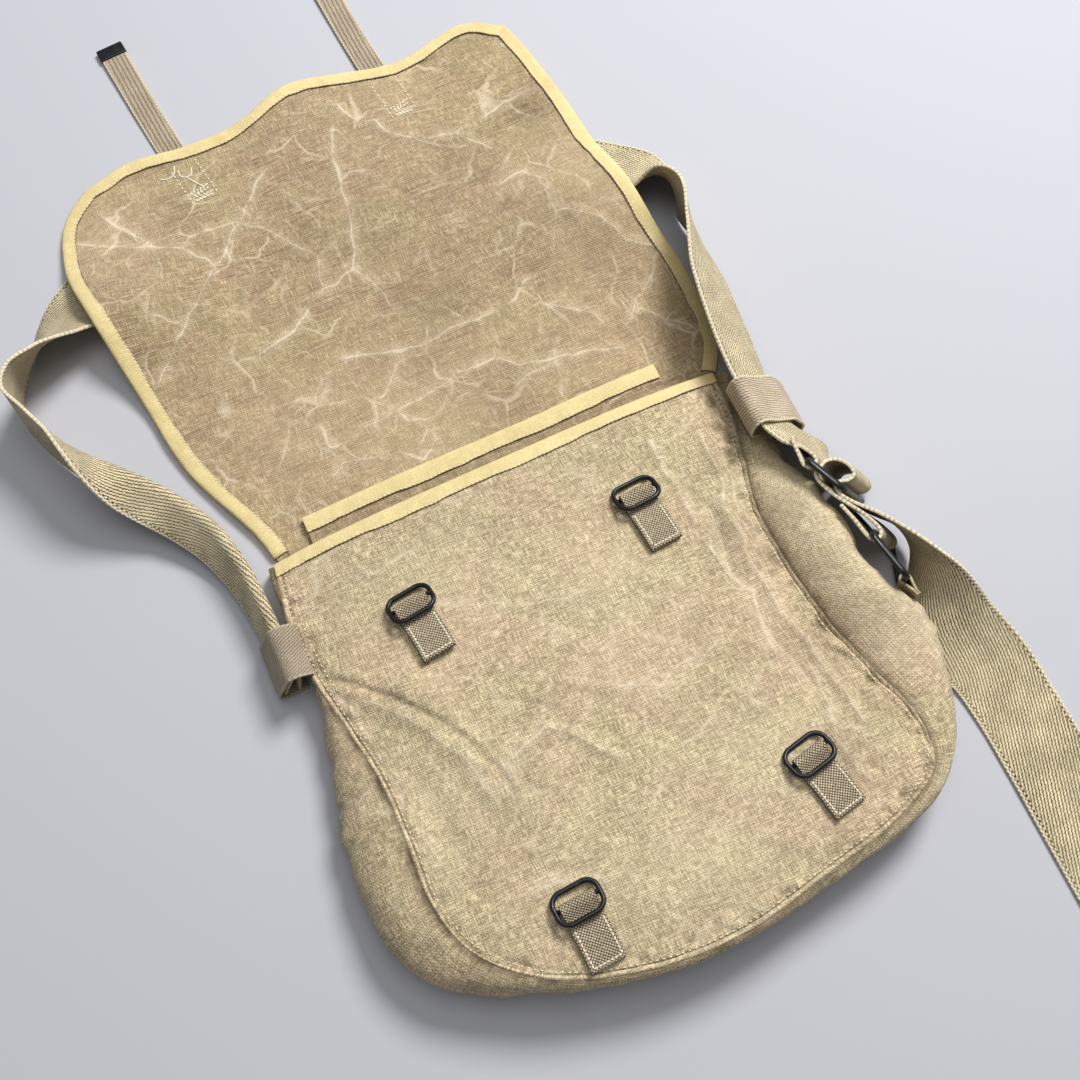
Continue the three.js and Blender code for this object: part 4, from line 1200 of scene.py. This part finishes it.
@surface(0.92, 0.2, 0.12, 0.55, 0.35)
def canvas_material(tree, name, colours):
    """Faded canvas with a slubby weave, patches and worn creases, with dirt, painted shade and painted light
    from its marks, and painted shade along seams and tape edges.
    """
    tone, worn_share, crackle_share, scratch_share, grain_share = CANVASES[name]
    light, dark = tones(colours, tone)
    pale = plain(colours.worn)
    place = cloth_place(tree)
    weave, patches = canvas_weave(place, CANVAS_THREAD), mottling(place)
    thread_share = 0.7 * grain_share
    base = layered(
        mixed(scaled(weave["Grain"], 0.5 - grain_share / 2, 0.5 + grain_share / 2), dark, light),
        (scaled(patches["Broad"], 0, 0.42), light),
        (scaled(patches["Small"], 0.36, 0), dark),
        (scaled(patches["Streak"], 0, 0.3), dark),
        (scaled(patches["Scratch"], 0, scratch_share), dark),
        (scaled(weave["Pale threads"], 0, thread_share), pale),
        (scaled(weave["Dark threads"], 0, thread_share), dark),
    )
    base = mixed(1.0, base, mixed(patches["Tint"], GREEN_TINT, PINK_TINT), "MULTIPLY")
    # Faded patches, and painted light on the gusset's right side, pull the colour toward the light tone
    base = mixed(scaled(mark(tree, "fade_and_painted_light"), 0, 0.8), base, light)
    relief = scaled(weave["Grain"], 1 - 0.22 * grain_share, 1 + 0.18 * grain_share)
    base = mixed(1.0, base, relief, "MULTIPLY")
    wobble = scaled(noise(place, 0.22, 3.0), -2.2, 2.2)
    aside = maths("ABSOLUTE", weighed(wobble, 0.4, mark(tree, "side")))
    distance = maths("MAXIMUM", aside, maths("SUBTRACT", mark(tree, "crease"), 2.4))
    breadth = mapped(noise(place, 0.045, 2.0), 0.38, 0.62, 0.55, 1.5)
    line = mapped(maths("DIVIDE", distance, breadth), 0.25, 1.0, 0.9, 0.0)
    halo = mapped(distance, 0.5, 6.0, 0.26, 0.0)
    broken = mapped(noise(place, 0.06, 3.0), 0.36, 0.58, 0.12, 1.0)
    worn = times(times(maths("MAXIMUM", line, halo), broken), worn_share)
    worn = weighed(fine_creases(place)["Line"], crackle_share, worn)
    # Dirt and painted shade, broken by small patches
    soil_and_shade = times(mark(tree, "soil_and_shade"), scaled(patches["Small"], 0.45, 0.9))
    # Painted shade in the needle holes of the front seam and painted shadow beside the inner edges of the
    # tapes, broken into dashes
    seam_shade_line = mapped(maths("ABSOLUTE", mark(tree, "seam")), 0.35, 1.25, 0.85, 0.0)
    dots = mapped(noise(place, 0.42, 0.0), 0.4, 0.6, 0.25, 1.0)
    soil_and_shade = maths("MAXIMUM", soil_and_shade, times(seam_shade_line, dots))
    return layered(base, (scaled(worn, 0, 0.85), pale), (soil_and_shade, plain(colours.soil_and_shade))), weave["Height"]


@surface(0.9, 0.2, 0.1, 0.8, 0.5)
def webbing_material(tree, name, colours):
    """Webbing of slanting ribs with a bright selvedge."""
    tone, selvedge_share, weave_sizes = WEBBINGS[name]
    light, dark = tones(colours, tone)
    place = cloth_place(tree)
    weave, patches = twill(place, *weave_sizes), mottling(place)
    base = layered(
        mixed(weave["Shade"], dark, light),
        (scaled(patches["Broad"], 0, 0.3), light),
        (scaled(patches["Small"], 0.3, 0), dark),
        (times(weave["Selvedge"], selvedge_share), plain(colours.selvedge)),
    )
    return base, weave["Height"]


@surface(0.9, 0.2, 0.0, 0.8, 0.5)
def tab_material(tree, _, colours):
    """Diamond webbing of the buckle tabs."""
    light, dark = tones(colours, "narrow")
    place = cloth_place(tree)
    weave = diamonds(place, TAB_PITCH)
    base = mixed(weave["Shade"], dark, light)
    return mixed(scaled(mottling(place)["Small"], 0.3, 0), base, dark), weave["Height"]


@surface(0.85, 0.25, 0.0, 0.4, 0.3)
def tape_material(tree, _, colours):
    """Straw-coloured tape with fine ribs and stains."""
    light, dark = tones(colours, "tape")
    place = cloth_place(tree)
    weave, patches = canvas_weave(place, TAPE_THREAD), mottling(place)
    base = mixed(scaled(weave["Grain"], 0.45, 0), light, dark)
    stains = scaled(times(patches["Broad"], patches["Small"]), 0, 0.65)
    return mixed(stains, base, dark), weave["Height"]


@surface(0.8)
def thread_material(tree, _, colours, tone):
    """Sewing thread, worn here and there."""
    share = mapped(noise(object_place(tree), 90.0, 2.0), 0.35, 0.65)
    return mixed(share, plain(tone), plain(colours.worn)), None


@surface(0.5, 0.35, 0.0, 0.15, 0.2)
def enamel_material(tree, _, colours):
    """Black enamel, glossy where it is rubbed and dull in patches."""
    wear = noise(object_place(tree), 260.0, 4.0)
    chips = scaled(mapped(wear, 0.66, 0.74), 0, 0.6)
    return mixed(chips, plain(colours.enamel), METAL_CHIPS), wear, mapped(wear, 0.3, 0.7, 0.28, 0.5)


# Tape and stitches
def bind(node, on_cloth, outward, length, width, sizes, colours):
    """Tape folded round an edge of cloth that is known at insets from it. Gives the line of the stitches."""
    height = sizes.canvas / 2 + TAPE_RISE + sizes.tape / 2
    rises = ((1, height), (0.8, height + 0.1), (0.6, height + 0.2), (0.4, height + 0.2), (0.2, height + 0.1),
             (0.05, height * 0.95))
    top = [(width * share, rise) for share, rise in rises]
    nose = [(-0.6, height * 0.7), (-0.95, height * 0.3), (-0.95, -height * 0.3), (-0.6, -height * 0.7)]
    profile = top + nose + [(inset, -rise) for inset, rise in reversed(top)]
    still = np.zeros(len(length))
    wave = TAPE_EXTRA + waves(length, still, TAPE_WAVES)
    lift = 0.16 * ripple(length, still, 5, 53)
    columns = []
    for inset, rise in profile:
        inner = max(inset, 0) + (wave if inset > 0.7 * width else still)
        pucker = lift if rise > 0 and inset > 0 else still
        columns.append(on_cloth(inner) + outward * max(-inset, 0) + UP * (rise + pucker)[:, None])
    points = np.stack(columns, axis=1)
    uv = grid_of(length, run_lengths(np.array(profile)))
    piece = cloth(f"{node}_tape", points, uv, sizes.tape, rim=0.2)
    settle(piece, "straw_tape", tape_material("straw tape", colours), node)
    return points[:, 0] * 0.82 + points[:, 1] * 0.18 + UP * (sizes.tape / 2)


def stitch_line(points, step, up=UP):
    """Places, directions and normals of stitches along a line of points."""
    reach = run_lengths(points)
    places = np.arange(step / 2, reach[-1], step)
    behind, at, ahead = (at_lengths(points, reach, places + shift) for shift in (-0.5, 0, 0.5))
    return [(place, along, up) for place, along in zip(at, unit(ahead - behind))]


def stitches_on(tree, plan, step):
    """Stitches along a line in plan, dropped onto a piece."""
    found = []
    for x, y in plan:
        place, normal = drop(tree, x, y)
        if place is not None:
            found.append(place + 0.1 * normal)
    return stitch_line(np.array(found), step) if len(found) > 1 else []


def sew(name, stitches, slot, sizes, colours, girth=1.0):
    """Joins copies of one small stitch into a piece. Thick thread is pale."""
    piece = add_mesh(bpy.ops.mesh.primitive_ico_sphere_add, subdivisions=1, radius=1)
    shape = np.array([vertex.co for vertex in piece.data.vertices])
    shape = shape * np.array([sizes.stitch / 2, 0.5, 0.4]) * girth
    faces = np.array([face.vertices for face in piece.data.polygons])
    points = []
    for place, along, off in stitches:
        side = unit(np.cross(off, along))
        top = np.cross(along, side)
        points.append(place + shape[:, :1] * along + shape[:, 1:2] * side + shape[:, 2:] * top)
    all_faces = np.concatenate([faces + k * len(shape) for k in range(len(stitches))])
    mesh = bpy.data.meshes.new(name)
    mesh.from_pydata((np.concatenate(points) * MM).tolist(), [], all_faces.tolist())
    mesh.update()
    piece.data = mesh
    piece.name = name
    bpy.ops.object.shade_smooth()
    if girth > 1:
        settle(piece, slot, thread_material("pale thread", colours, colours.pale_thread))
    else:
        settle(piece, slot, thread_material("sewing thread", colours, colours.thread))


# Wire
def wire_ring(length_x, length_y, corner, wire):
    """Round ring pushed out to a rounded rectangle in the X and Y plane."""
    count = 48
    ring = add_mesh(bpy.ops.mesh.primitive_torus_add, major_segments=count, minor_segments=14,
                    major_radius=corner * MM, minor_radius=wire / 2 * MM)
    half_step = math.pi / count
    ring.data.transform(Matrix.Rotation(half_step, 4, "Z"))
    for vertex in ring.data.vertices:
        vertex.co.x += math.copysign(length_x / 2 - corner, vertex.co.x) * MM
        vertex.co.y += math.copysign(length_y / 2 - corner, vertex.co.y) * MM
    return ring


def add_bar(ring, length, bar):
    """Joins a middle bar along X to a wire ring."""
    middle = add_mesh(bpy.ops.mesh.primitive_cylinder_add, vertices=18, radius=bar / 2 * MM,
                      depth=length * MM, rotation=(0, math.pi / 2, 0))
    bpy.ops.object.transform_apply(rotation=True)
    middle.select_set(True)
    ring.select_set(True)
    bpy.context.view_layer.objects.active = ring
    bpy.ops.object.join()


def finish_wire(piece, node, colours):
    """Names and smooths a wire piece, and gives it its enamel."""
    piece.name = f"{node}_wire"
    bpy.ops.object.select_all(action="DESELECT")
    bpy.context.view_layer.objects.active = piece
    piece.select_set(True)
    bpy.ops.object.shade_smooth()
    settle(piece, "black_enamel", enamel_material("black enamel", colours), node)


class BAG_OT_front_panel(Operator):
    """Adds the front panel with its folds, seam ridge and puckers"""

    bl_idname = "bag.front_panel"
    bl_label = "Front panel"

    def execute(self, context):
        sizes, colours = settings(context)
        points, marks = front_points(shares(FRONT_WIDTH), shares(FRONT_LENGTH))
        piece = cloth("front_panel_cloth", points, points[..., :2], sizes.canvas, marks)
        settle(piece, "front_canvas", canvas_material("front canvas", colours), "front_panel")
        return {"FINISHED"}


class BAG_OT_gusset(Operator):
    """Adds the gusset, one long strip that swells between the two seams"""

    bl_idname = "bag.gusset"
    bl_label = "Gusset"

    def execute(self, context):
        sizes, colours = settings(context)
        row, along = even_rows(front_seam, len(SEAM_ROWS), GUSSET_STEP)
        turn = np.linspace(0, math.pi, GUSSET_ROWS)
        points, outward = gusset_points(row, turn)
        across = run_lengths(points)
        wide = np.broadcast_to(along[None], across.shape)
        free = np.sin(turn)[:, None]
        bulges = waves(wide, across, GUSSET_WAVES) + 0.8 * ripple(wide * 1.6, across * 0.5, 12, 42)
        right_side = smooth(points[..., 0], *GUSSET_RIGHT) * smooth(points[..., 1], *GUSSET_ABOVE)
        left_side = smooth(-points[..., 0], *GUSSET_LEFT)
        folds = smooth(ripple(wide * 1.3, across * 0.45, 17, 47), 0.05, 0.75)
        dent = folds * (GUSSET_DENTS[0] * right_side + GUSSET_DENTS[1] * left_side)
        points = points + outward * ((bulges - dent) * free**1.5)[..., None]
        rim = across[-1][None] - across
        seam = np.minimum(across, rim)
        pucker = 0.8 * ripple(wide, across, 7, 44) * bell(seam - 6, 5)
        points = points + UP * (pucker * smooth(seam, 0, 3))[..., None]
        # Painted shade in the dents, over the left side and in the crevices at both seams, with some random
        # dirt
        soil_and_shade = 0.04 * dent + (0.12 + 0.4 * smooth(ripple(wide, across, 15, 45), 0.1, 0.7)) * left_side
        soil_and_shade += 0.11 * smooth(ripple(wide, across, 12, 46), 0.1, 0.8)
        soil_and_shade += bell(across, 2.6 + 0.6 * right_side) + 0.3 * bell(rim, 6)
        # Painted light over the right side near the front seam
        marks = {**PLAIN_MARKS, "soil_and_shade": soil_and_shade, "fade_and_painted_light": 0.5 * right_side * smooth(across, 4, 12)}
        piece = cloth("gusset_cloth", points, np.stack([wide, across], axis=-1), sizes.canvas, marks)
        settle(piece, "front_canvas", canvas_material("front canvas", colours), "gusset")
        return {"FINISHED"}


class BAG_OT_back_flap(Operator):
    """Adds the back panel and the flap in one cloth"""

    bl_idname = "bag.back_flap"
    bl_label = "Back and flap"

    def execute(self, context):
        sizes, colours = settings(context)
        u = np.linspace(0, 1, FLAP_COLUMNS)
        back = patch(
            lambda s: seam_left(back_seam)(1 - np.asarray(s)),
            lambda s: seam_right(back_seam)(1 - np.asarray(s)),
            seam_bottom(back_seam), hinge, u, np.linspace(0, 1, BACK_ROWS),
        )
        back[..., 2] = BACK_LEVEL
        v = np.linspace(0, 1, FLAP_ROWS)
        flap = patch(flap_left, flap_right, lambda s: hinge(s)[..., :2], flap_far, u, v)[1:]
        flap = np.dstack([flap, flap_height(flap[..., 0], flap[..., 1])])
        points = np.concatenate([back, flap])
        x, y = points[..., 0], points[..., 1]
        rim = np.abs(beside(x, y, flap_edge()[::3]))
        side = flap_crease(x, y)
        marks = {
            "crease": np.abs(side), "side": side,
            "soil_and_shade": 0.6 * spots(x, y, FLAP_SOIL), "fade_and_painted_light": spots(x, y, FLAP_FADE),
            # Painted shadow line beside the inner edge of the flap's tape
            "seam": np.where(y > HINGE_Y, 1.7 * (rim - FLAP_TAPE), FAR_OFF),
        }
        piece = cloth("back_flap_cloth", points, points[..., :2], sizes.canvas, marks)
        settle(piece, "flap_canvas", canvas_material("flap canvas", colours), "back_flap")
        return {"FINISHED"}


class BAG_OT_inner_pocket(Operator):
    """Adds the flat divided pocket on the back panel"""

    bl_idname = "bag.inner_pocket"
    bl_label = "Inner pocket"

    def execute(self, context):
        _, colours = settings(context)
        x = np.linspace(POCKET_LEFT, POCKET_RIGHT, POCKET_COLUMNS)
        inset = np.linspace(0, POCKET_TOP_LEFT - POCKET_BOTTOM, POCKET_ROWS)
        points = pocket_points(x, inset)
        # Painted shadow line beside the inner edge of the pocket's tape
        marks = {**PLAIN_MARKS, "soil_and_shade": 0.25, "seam": np.abs(inset - POCKET_TAPE - 0.3)[:, None]}
        piece = cloth("inner_pocket_cloth", points, points[..., :2], POCKET_CLOTH, marks)
        settle(piece, "flap_canvas", canvas_material("flap canvas", colours), "inner_pocket")
        return {"FINISHED"}


class BAG_OT_bindings(Operator):
    """Adds the tape round the mouth, the flap and the pocket, with its stitches"""

    bl_idname = "bag.bindings"
    bl_label = "Bindings"

    def execute(self, context):
        sizes, colours = settings(context)
        mouth_depth = np.linspace(0, 0.06, 13)
        front, _ = front_points(np.linspace(0, 1, MOUTH_POINTS), mouth_depth)
        edge = flap_edge()
        flap_out = plan_outward(edge)
        x = np.linspace(POCKET_LEFT, POCKET_RIGHT, TAPE_POINTS)
        pocket_depth = np.linspace(0, 16, 17)
        pocket = pocket_points(x, pocket_depth)
        pocket_out = np.tile([0.0, 1.0, 0.0], (len(x), 1))

        def on_front(inset):
            return at_insets(front, mouth_depth * FRONT_LENGTH, inset)

        def on_flap(inset):
            plan = edge - flap_out[:, :2] * inset[:, None]
            return np.column_stack([plan, flap_height(plan[:, 0], plan[:, 1])])

        def on_pocket(inset):
            return at_insets(pocket, pocket_depth, inset)

        stitches = []
        for node, on_cloth, outward, length, width in (
            ("mouth_binding", on_front, plan_outward(front[0]), run_lengths(front[0]), MOUTH_TAPE),
            ("flap_binding", on_flap, flap_out, run_lengths(edge), FLAP_TAPE),
            ("pocket_binding", on_pocket, pocket_out, x - POCKET_LEFT, POCKET_TAPE),
        ):
            line = bind(node, on_cloth, outward, length, width, sizes, colours)
            stitches += stitch_line(line, BINDING_STEP)
        sew("binding_stitches", stitches, "straw_tape", sizes, colours)
        return {"FINISHED"}


class BAG_OT_straps(Operator):
    """Adds the shoulder strap and its tail"""

    bl_idname = "bag.straps"
    bl_label = "Shoulder strap and tail"

    def execute(self, context):
        sizes, colours = settings(context)
        first_bar = [STRAP_SLIDE[k] - STRAP_SLIDE_PITCH * STRAP_SLIDE_ALONG[k] for k in range(2)]
        strap = STRAP_ROWS + on_edge(round_bar(first_bar, STRAP_WRAP) + STRAP_END, -90)
        ring_bar = (RING[0], RING[1] + RING_PITCH)
        folds = TAIL_START + round_bar(ring_bar, TAIL_WRAP) + TAIL_FOLD
        tail = on_edge(folds, 90) + [(x, y, z, lean, lean) for x, y, z, lean in TAIL_ROWS]
        for node, rows in (("shoulder_strap", strap), ("tail_strap", tail)):
            points, uv = webbing_points(rows, sizes.strap_width, STRAP_STEP, STRAP_COLUMNS)
            points[..., 2] += np.maximum(0.25 * ripple(uv[..., 0], uv[..., 1], 9, 61), -0.1)
            piece = cloth(f"{node}_webbing", lean_over(points), uv, sizes.strap, rim=0.5)
            settle(piece, "strap_webbing", webbing_material("strap webbing", colours), node)
        return {"FINISHED"}


class BAG_OT_keepers(Operator):
    """Adds the two webbing keepers that hold the shoulder strap"""

    bl_idname = "bag.keepers"
    bl_label = "Keepers"

    def execute(self, context):
        sizes, colours = settings(context)
        for side, (middle_y, rows) in KEEPERS.items():
            route = through([(x, middle_y, z) for x, z in rows])
            places, length = even_rows(route, len(rows), KEEPER_STEP)
            offsets = np.linspace(-KEEPER_LENGTH / 2, KEEPER_LENGTH / 2, STRAP_COLUMNS)
            points = route(places)[:, None] + np.array([0, 1.0, 0]) * offsets[None, :, None]
            uv = grid_of(length, offsets)
            points[..., 1] += 0.5 * ripple(uv[..., 0], uv[..., 1] * 0, 9, 63)
            piece = cloth(f"keeper_{side}_webbing", points, uv, sizes.narrow, rim=0.4)
            # The left keeper's material takes darker tones as painted shade
            settle(piece, "narrow_webbing", webbing_material(f"{side} keeper", colours), f"keeper_{side}")
        return {"FINISHED"}


class BAG_OT_tabs(Operator):
    """Adds the four buckle tabs with their stitches, and the tab of the ring"""

    bl_idname = "bag.tabs"
    bl_label = "Tabs"

    def execute(self, context):
        sizes, colours = settings(context)
        layer, width, canvas = sizes.narrow, sizes.narrow_width, sizes.canvas
        offsets = np.linspace(-width / 2, width / 2, TAB_COLUMNS)
        stitches = []
        for row in TABS:
            across, along, off, place, length = front_frame(row, width)
            path, reach = loop_path(length, layer, SLIDE_BAR / 2, TAB_BAR_HEIGHT, TAB_FLAT)

            def on_tab(side, down, height):
                return place + across * side - along * down + off * height

            uv = grid_of(reach, offsets)
            points = np.stack([[on_tab(s, a, h) for s in offsets] for a, h in path])
            points = points + across * (0.25 * ripple(uv[..., 0], uv[..., 1] * 0, 7, 65))[..., None]
            piece = cloth(f"tab_{row[0]}_webbing", points, uv, layer - 0.1, rim=0.4)
            settle(piece, "narrow_webbing", tab_material("tab webbing", colours), f"tab_{row[0]}")
            inset, top = 1.8, 2 * layer
            side, first, last = width / 2 - inset, SLIDE_PITCH + 4, length - inset
            corners = [(-side, first), (-side, last), (side, last), (side, first)]
            line = np.array([on_tab(s, down, top) for s, down in corners])
            for pair in zip(line, line[1:]):
                stitches += stitch_line(np.array(pair), TAB_STEP, off)
        sew("tab_stitches", stitches, "narrow_webbing", sizes, colours, 1.2)

        path, reach = loop_path(RING_TAB_LENGTH, canvas, STRAP_WIRE / 2, canvas, RING_TAB_FLAT)
        along = unit(np.array([*RING_TAB_HEADING, 0.0]))
        off = np.cross(UP, along)
        place = np.array([RING[0], RING[1] - RING_PITCH, HARDWARE_HEIGHT])
        heights = np.linspace(-RING_TAB_HEIGHT / 2, RING_TAB_HEIGHT / 2, CLOSING_COLUMNS)
        line = place + along * path[:, :1] + off * (path[:, 1:] - canvas)
        points = line[:, None] + UP * heights[None, :, None]
        marks = {**PLAIN_MARKS, "soil_and_shade": 0.15}
        piece = cloth("ring_tab_canvas", lean_over(points), grid_of(reach, heights), canvas, marks)
        settle(piece, "front_canvas", canvas_material("front canvas", colours), "ring_tab")
        return {"FINISHED"}


class BAG_OT_closing_straps(Operator):
    """Adds the two closing straps with their metal tips"""

    bl_idname = "bag.closing_straps"
    bl_label = "Closing straps"

    def execute(self, context):
        sizes, colours = settings(context)
        for side, rows in CLOSING_ROUTES.items():
            flat = [(*row, 0, 0) for row in rows]
            points, uv = webbing_points(flat, CLOSING_WIDTH, CLOSING_STEP, CLOSING_COLUMNS)
            piece = cloth(f"closing_strap_{side}_webbing", points, uv, sizes.narrow, rim=0.4)
            material = webbing_material("closing strap webbing", colours)
            settle(piece, "narrow_webbing", material, f"closing_strap_{side}")
            before, end = np.array(rows[-2]), np.array(rows[-1])
            along = unit(np.array([end[0] - before[0], end[1] - before[1], 0.0]))
            middle = end + along * (TIP_START + TIP_LENGTH / 2)
            stretch = Matrix.Diagonal((TIP_LENGTH * MM, (CLOSING_WIDTH + TIP_PLAY) * MM, TIP_HEIGHT * MM, 1))
            tip = add_mesh(bpy.ops.mesh.primitive_cube_add, size=1)
            tip.name = f"strap_tip_{side}_metal"
            tip.data.transform(matrix_of(along, np.cross(UP, along), UP, middle) @ stretch)
            round_edges(tip, 1.0, 4)
            settle(tip, "black_enamel", enamel_material("black enamel", colours), f"strap_tip_{side}")
        return {"FINISHED"}


class BAG_OT_slides(Operator):
    """Adds the wire slides and the ring"""

    bl_idname = "bag.slides"
    bl_label = "Slides and ring"

    def execute(self, context):
        sizes, colours = settings(context)
        small = wire_ring(SLIDE_LENGTH + SLIDE_GROWTH[0], 2 * (SLIDE_PITCH + SLIDE_GROWTH[1]),
                          SLIDE_CORNER + SLIDE_GROWTH[1], SLIDE_WIRE)
        add_bar(small, SLIDE_LENGTH, SLIDE_BAR)
        tilted = Matrix.Translation((0, 0, TAB_BAR_HEIGHT * MM)) @ Matrix.Rotation(SLIDE_TILT, 4, "X")
        for row in TABS:
            across, along, off, place, _ = front_frame(row, sizes.narrow_width)
            slide = small.copy()
            slide.data = small.data.copy()
            slide.data.transform(matrix_of(across, along, off, place) @ tilted)
            context.collection.objects.link(slide)
            finish_wire(slide, f"slide_{row[0]}", colours)
        bpy.data.objects.remove(small)
        slot = sizes.strap_width + STRAP_WIRE + STRAP_PLAY
        for node, plan, heading, pitch, barred in (
            ("strap_slide", STRAP_SLIDE, STRAP_SLIDE_ALONG, STRAP_SLIDE_PITCH, True),
            ("end_ring", RING, RING_ALONG, RING_PITCH, False),
        ):
            ring = wire_ring(slot, 2 * pitch, STRAP_CORNER, STRAP_WIRE)
            if barred:
                add_bar(ring, slot, STRAP_WIRE)
            along = unit(np.array([*heading, 0.0]))
            ring.data.transform(matrix_of(UP, along, np.cross(UP, along), (*plan, HARDWARE_HEIGHT)))
            places = lean_over(np.array([vertex.co for vertex in ring.data.vertices]) / MM)
            ring.data.vertices.foreach_set("co", (places * MM).ravel())
            finish_wire(ring, node, colours)
        return {"FINISHED"}


class BAG_OT_stitching(Operator):
    """Adds the stitches of the front seam, the pocket and the closing straps"""

    bl_idname = "bag.stitching"
    bl_label = "Stitching"

    def execute(self, context):
        sizes, colours = settings(context)
        front, flap, pocket = (
            BVHTree.FromObject(bpy.data.objects[name], context.evaluated_depsgraph_get())
            for name in ("front_panel_cloth", "back_flap_cloth", "inner_pocket_cloth")
        )
        seam = front_seam(even_rows(front_seam, len(SEAM_ROWS), 2.0)[0])
        inward = plan_outward(seam)[:, :2]
        stitches = []
        for inset, keep in ((SEAM_STITCH, slice(6, -6)), (SEAM_STITCH + 4, slice(6, 46))):
            stitches += stitches_on(front, (seam[:, :2] + inward * inset)[keep], SEAM_STEP)
        sew("seam_stitches", stitches, "front_canvas", sizes, colours)

        stitches = []
        half, foot, reach, turns = CLOSING_WIDTH / 2, 10, 22, 11
        for rows in CLOSING_ROUTES.values():
            sewn, after = np.array(rows[0][:2]), np.array(rows[1][:2])
            along = unit(after - sewn)
            across = np.array([along[1], -along[0]])
            near, far = sewn - along * foot, sewn + along * reach
            for edge in (-half, half):
                line = np.linspace(near + across * edge, far + across * edge, 16)
                stitches += stitches_on(flap, line, PATCH_STEP)
            stray = np.random.default_rng(71).uniform(-1.6, 1.6, (turns, 2))
            zigzag = [near + along * foot * share + across * half * 0.75 * (-1) ** k + stray[k]
                      for k, share in enumerate(np.linspace(0, 1, turns))]
            for pair in zip(zigzag, zigzag[1:]):
                stitches += stitches_on(flap, np.linspace(*pair, 8), ZIGZAG_STEP)
        for loop in LOOSE_THREADS:
            stitches += stitches_on(flap, by_share(loop)(np.linspace(0, 1, 24)), LOOSE_STEP)
        sew("closing_strap_stitches", stitches, "flap_canvas", sizes, colours, 1.15)

        stitches = []
        for x in (POCKET_DIVISION - 4, POCKET_DIVISION + 4):
            line = np.linspace((x, POCKET_BOTTOM + 2), (x, POCKET_TOP_LEFT - 12), 30)
            stitches += stitches_on(pocket, line, POCKET_STEP)
        sew("pocket_stitches", stitches, "flap_canvas", sizes, colours)
        return {"FINISHED"}


class BAG_OT_stage(Operator):
    """Adds the floor, the soft light and the camera of the photograph"""

    bl_idname = "bag.stage"
    bl_label = "Stage"

    def execute(self, context):
        _, colours = settings(context)
        scene = context.scene
        floor = add_mesh(bpy.ops.mesh.primitive_plane_add, size=FLOOR_SIZE, location=(0, 0, FLOOR_LEVEL))
        floor.name = "floor"
        material, _, shader = new_material("pale floor")
        shader.inputs["Base Color"].default_value = plain(colours.floor)
        shader.inputs["Roughness"].default_value = 0.9
        floor.data.materials.append(material)
        for name, (place, size, power) in LAMPS.items():
            light = bpy.data.lights.new(name, "AREA")
            light.shape = "DISK"
            light.size = size
            light.energy = power
            lamp = bpy.data.objects.new(name, light)
            lamp.location = place
            lamp.rotation_euler = (Vector(LAMP_TARGET) - Vector(place)).to_track_quat("-Z", "Y").to_euler()
            scene.collection.objects.link(lamp)
        world = scene.world or bpy.data.worlds.new("World")
        scene.world = world
        world.use_nodes = True
        sky = world.node_tree.nodes["Background"]
        sky.inputs[0].default_value = SKY_TINT
        sky.inputs[1].default_value = SKY_POWER
        camera = bpy.data.objects.new("camera", bpy.data.cameras.new("camera"))
        scene.collection.objects.link(camera)
        camera.data.sensor_width = CAMERA_SENSOR
        camera.data.lens = CAMERA_LENS
        camera.data.clip_start = 0.01
        azimuth, elevation, roll = (math.radians(a) for a in (CAMERA_AZIMUTH, CAMERA_ELEVATION, CAMERA_ROLL))
        right = np.array([math.cos(azimuth), math.sin(azimuth), 0.0])
        back = math.cos(elevation) * np.cross(right, UP) + math.sin(elevation) * UP
        turned = math.cos(roll) * right + math.sin(roll) * np.cross(back, right)
        camera.matrix_world = matrix_of(turned, np.cross(back, turned), back, CAMERA_PLACE)
        scene.camera = camera
        scene.view_settings.view_transform = "Standard"
        return {"FINISHED"}


class BAG_PT_panel(Panel):
    """Sidebar panel with the bag's sizes, colours and pieces"""

    bl_label = "Shoulder bag"
    bl_idname = "BAG_PT_panel"
    bl_space_type = "VIEW_3D"
    bl_region_type = "UI"
    bl_category = "Bag"

    def draw(self, context):
        layout = self.layout
        for group, heading in ((context.scene.bag_sizes, "Sizes"), (context.scene.bag_colours, "Colours")):
            box = layout.box()
            box.label(text=heading)
            for name in group.__annotations__:
                box.prop(group, name)
        for operator in OPERATORS:
            layout.operator(operator.bl_idname)


OPERATORS = (
    BAG_OT_front_panel, BAG_OT_gusset, BAG_OT_back_flap, BAG_OT_inner_pocket, BAG_OT_bindings, BAG_OT_straps,
    BAG_OT_keepers, BAG_OT_tabs, BAG_OT_closing_straps, BAG_OT_slides, BAG_OT_stitching, BAG_OT_stage,
)
CLASSES = (BagSizes, BagColours, *OPERATORS, BAG_PT_panel)


def register():
    for item in CLASSES:
        bpy.utils.register_class(item)
    bpy.types.Scene.bag_sizes = PointerProperty(type=BagSizes)
    bpy.types.Scene.bag_colours = PointerProperty(type=BagColours)


def unregister():
    del bpy.types.Scene.bag_colours
    del bpy.types.Scene.bag_sizes
    for item in reversed(CLASSES):
        bpy.utils.unregister_class(item)


def main():
    register()
    bpy.ops.bag.front_panel()
    bpy.ops.bag.gusset()
    bpy.ops.bag.back_flap()
    bpy.ops.bag.inner_pocket()
    bpy.ops.bag.bindings()
    bpy.ops.bag.straps()
    bpy.ops.bag.keepers()
    bpy.ops.bag.tabs()
    bpy.ops.bag.closing_straps()
    bpy.ops.bag.slides()
    bpy.ops.bag.stitching()
    bpy.ops.bag.stage()


if __name__ == "__main__":
    main()
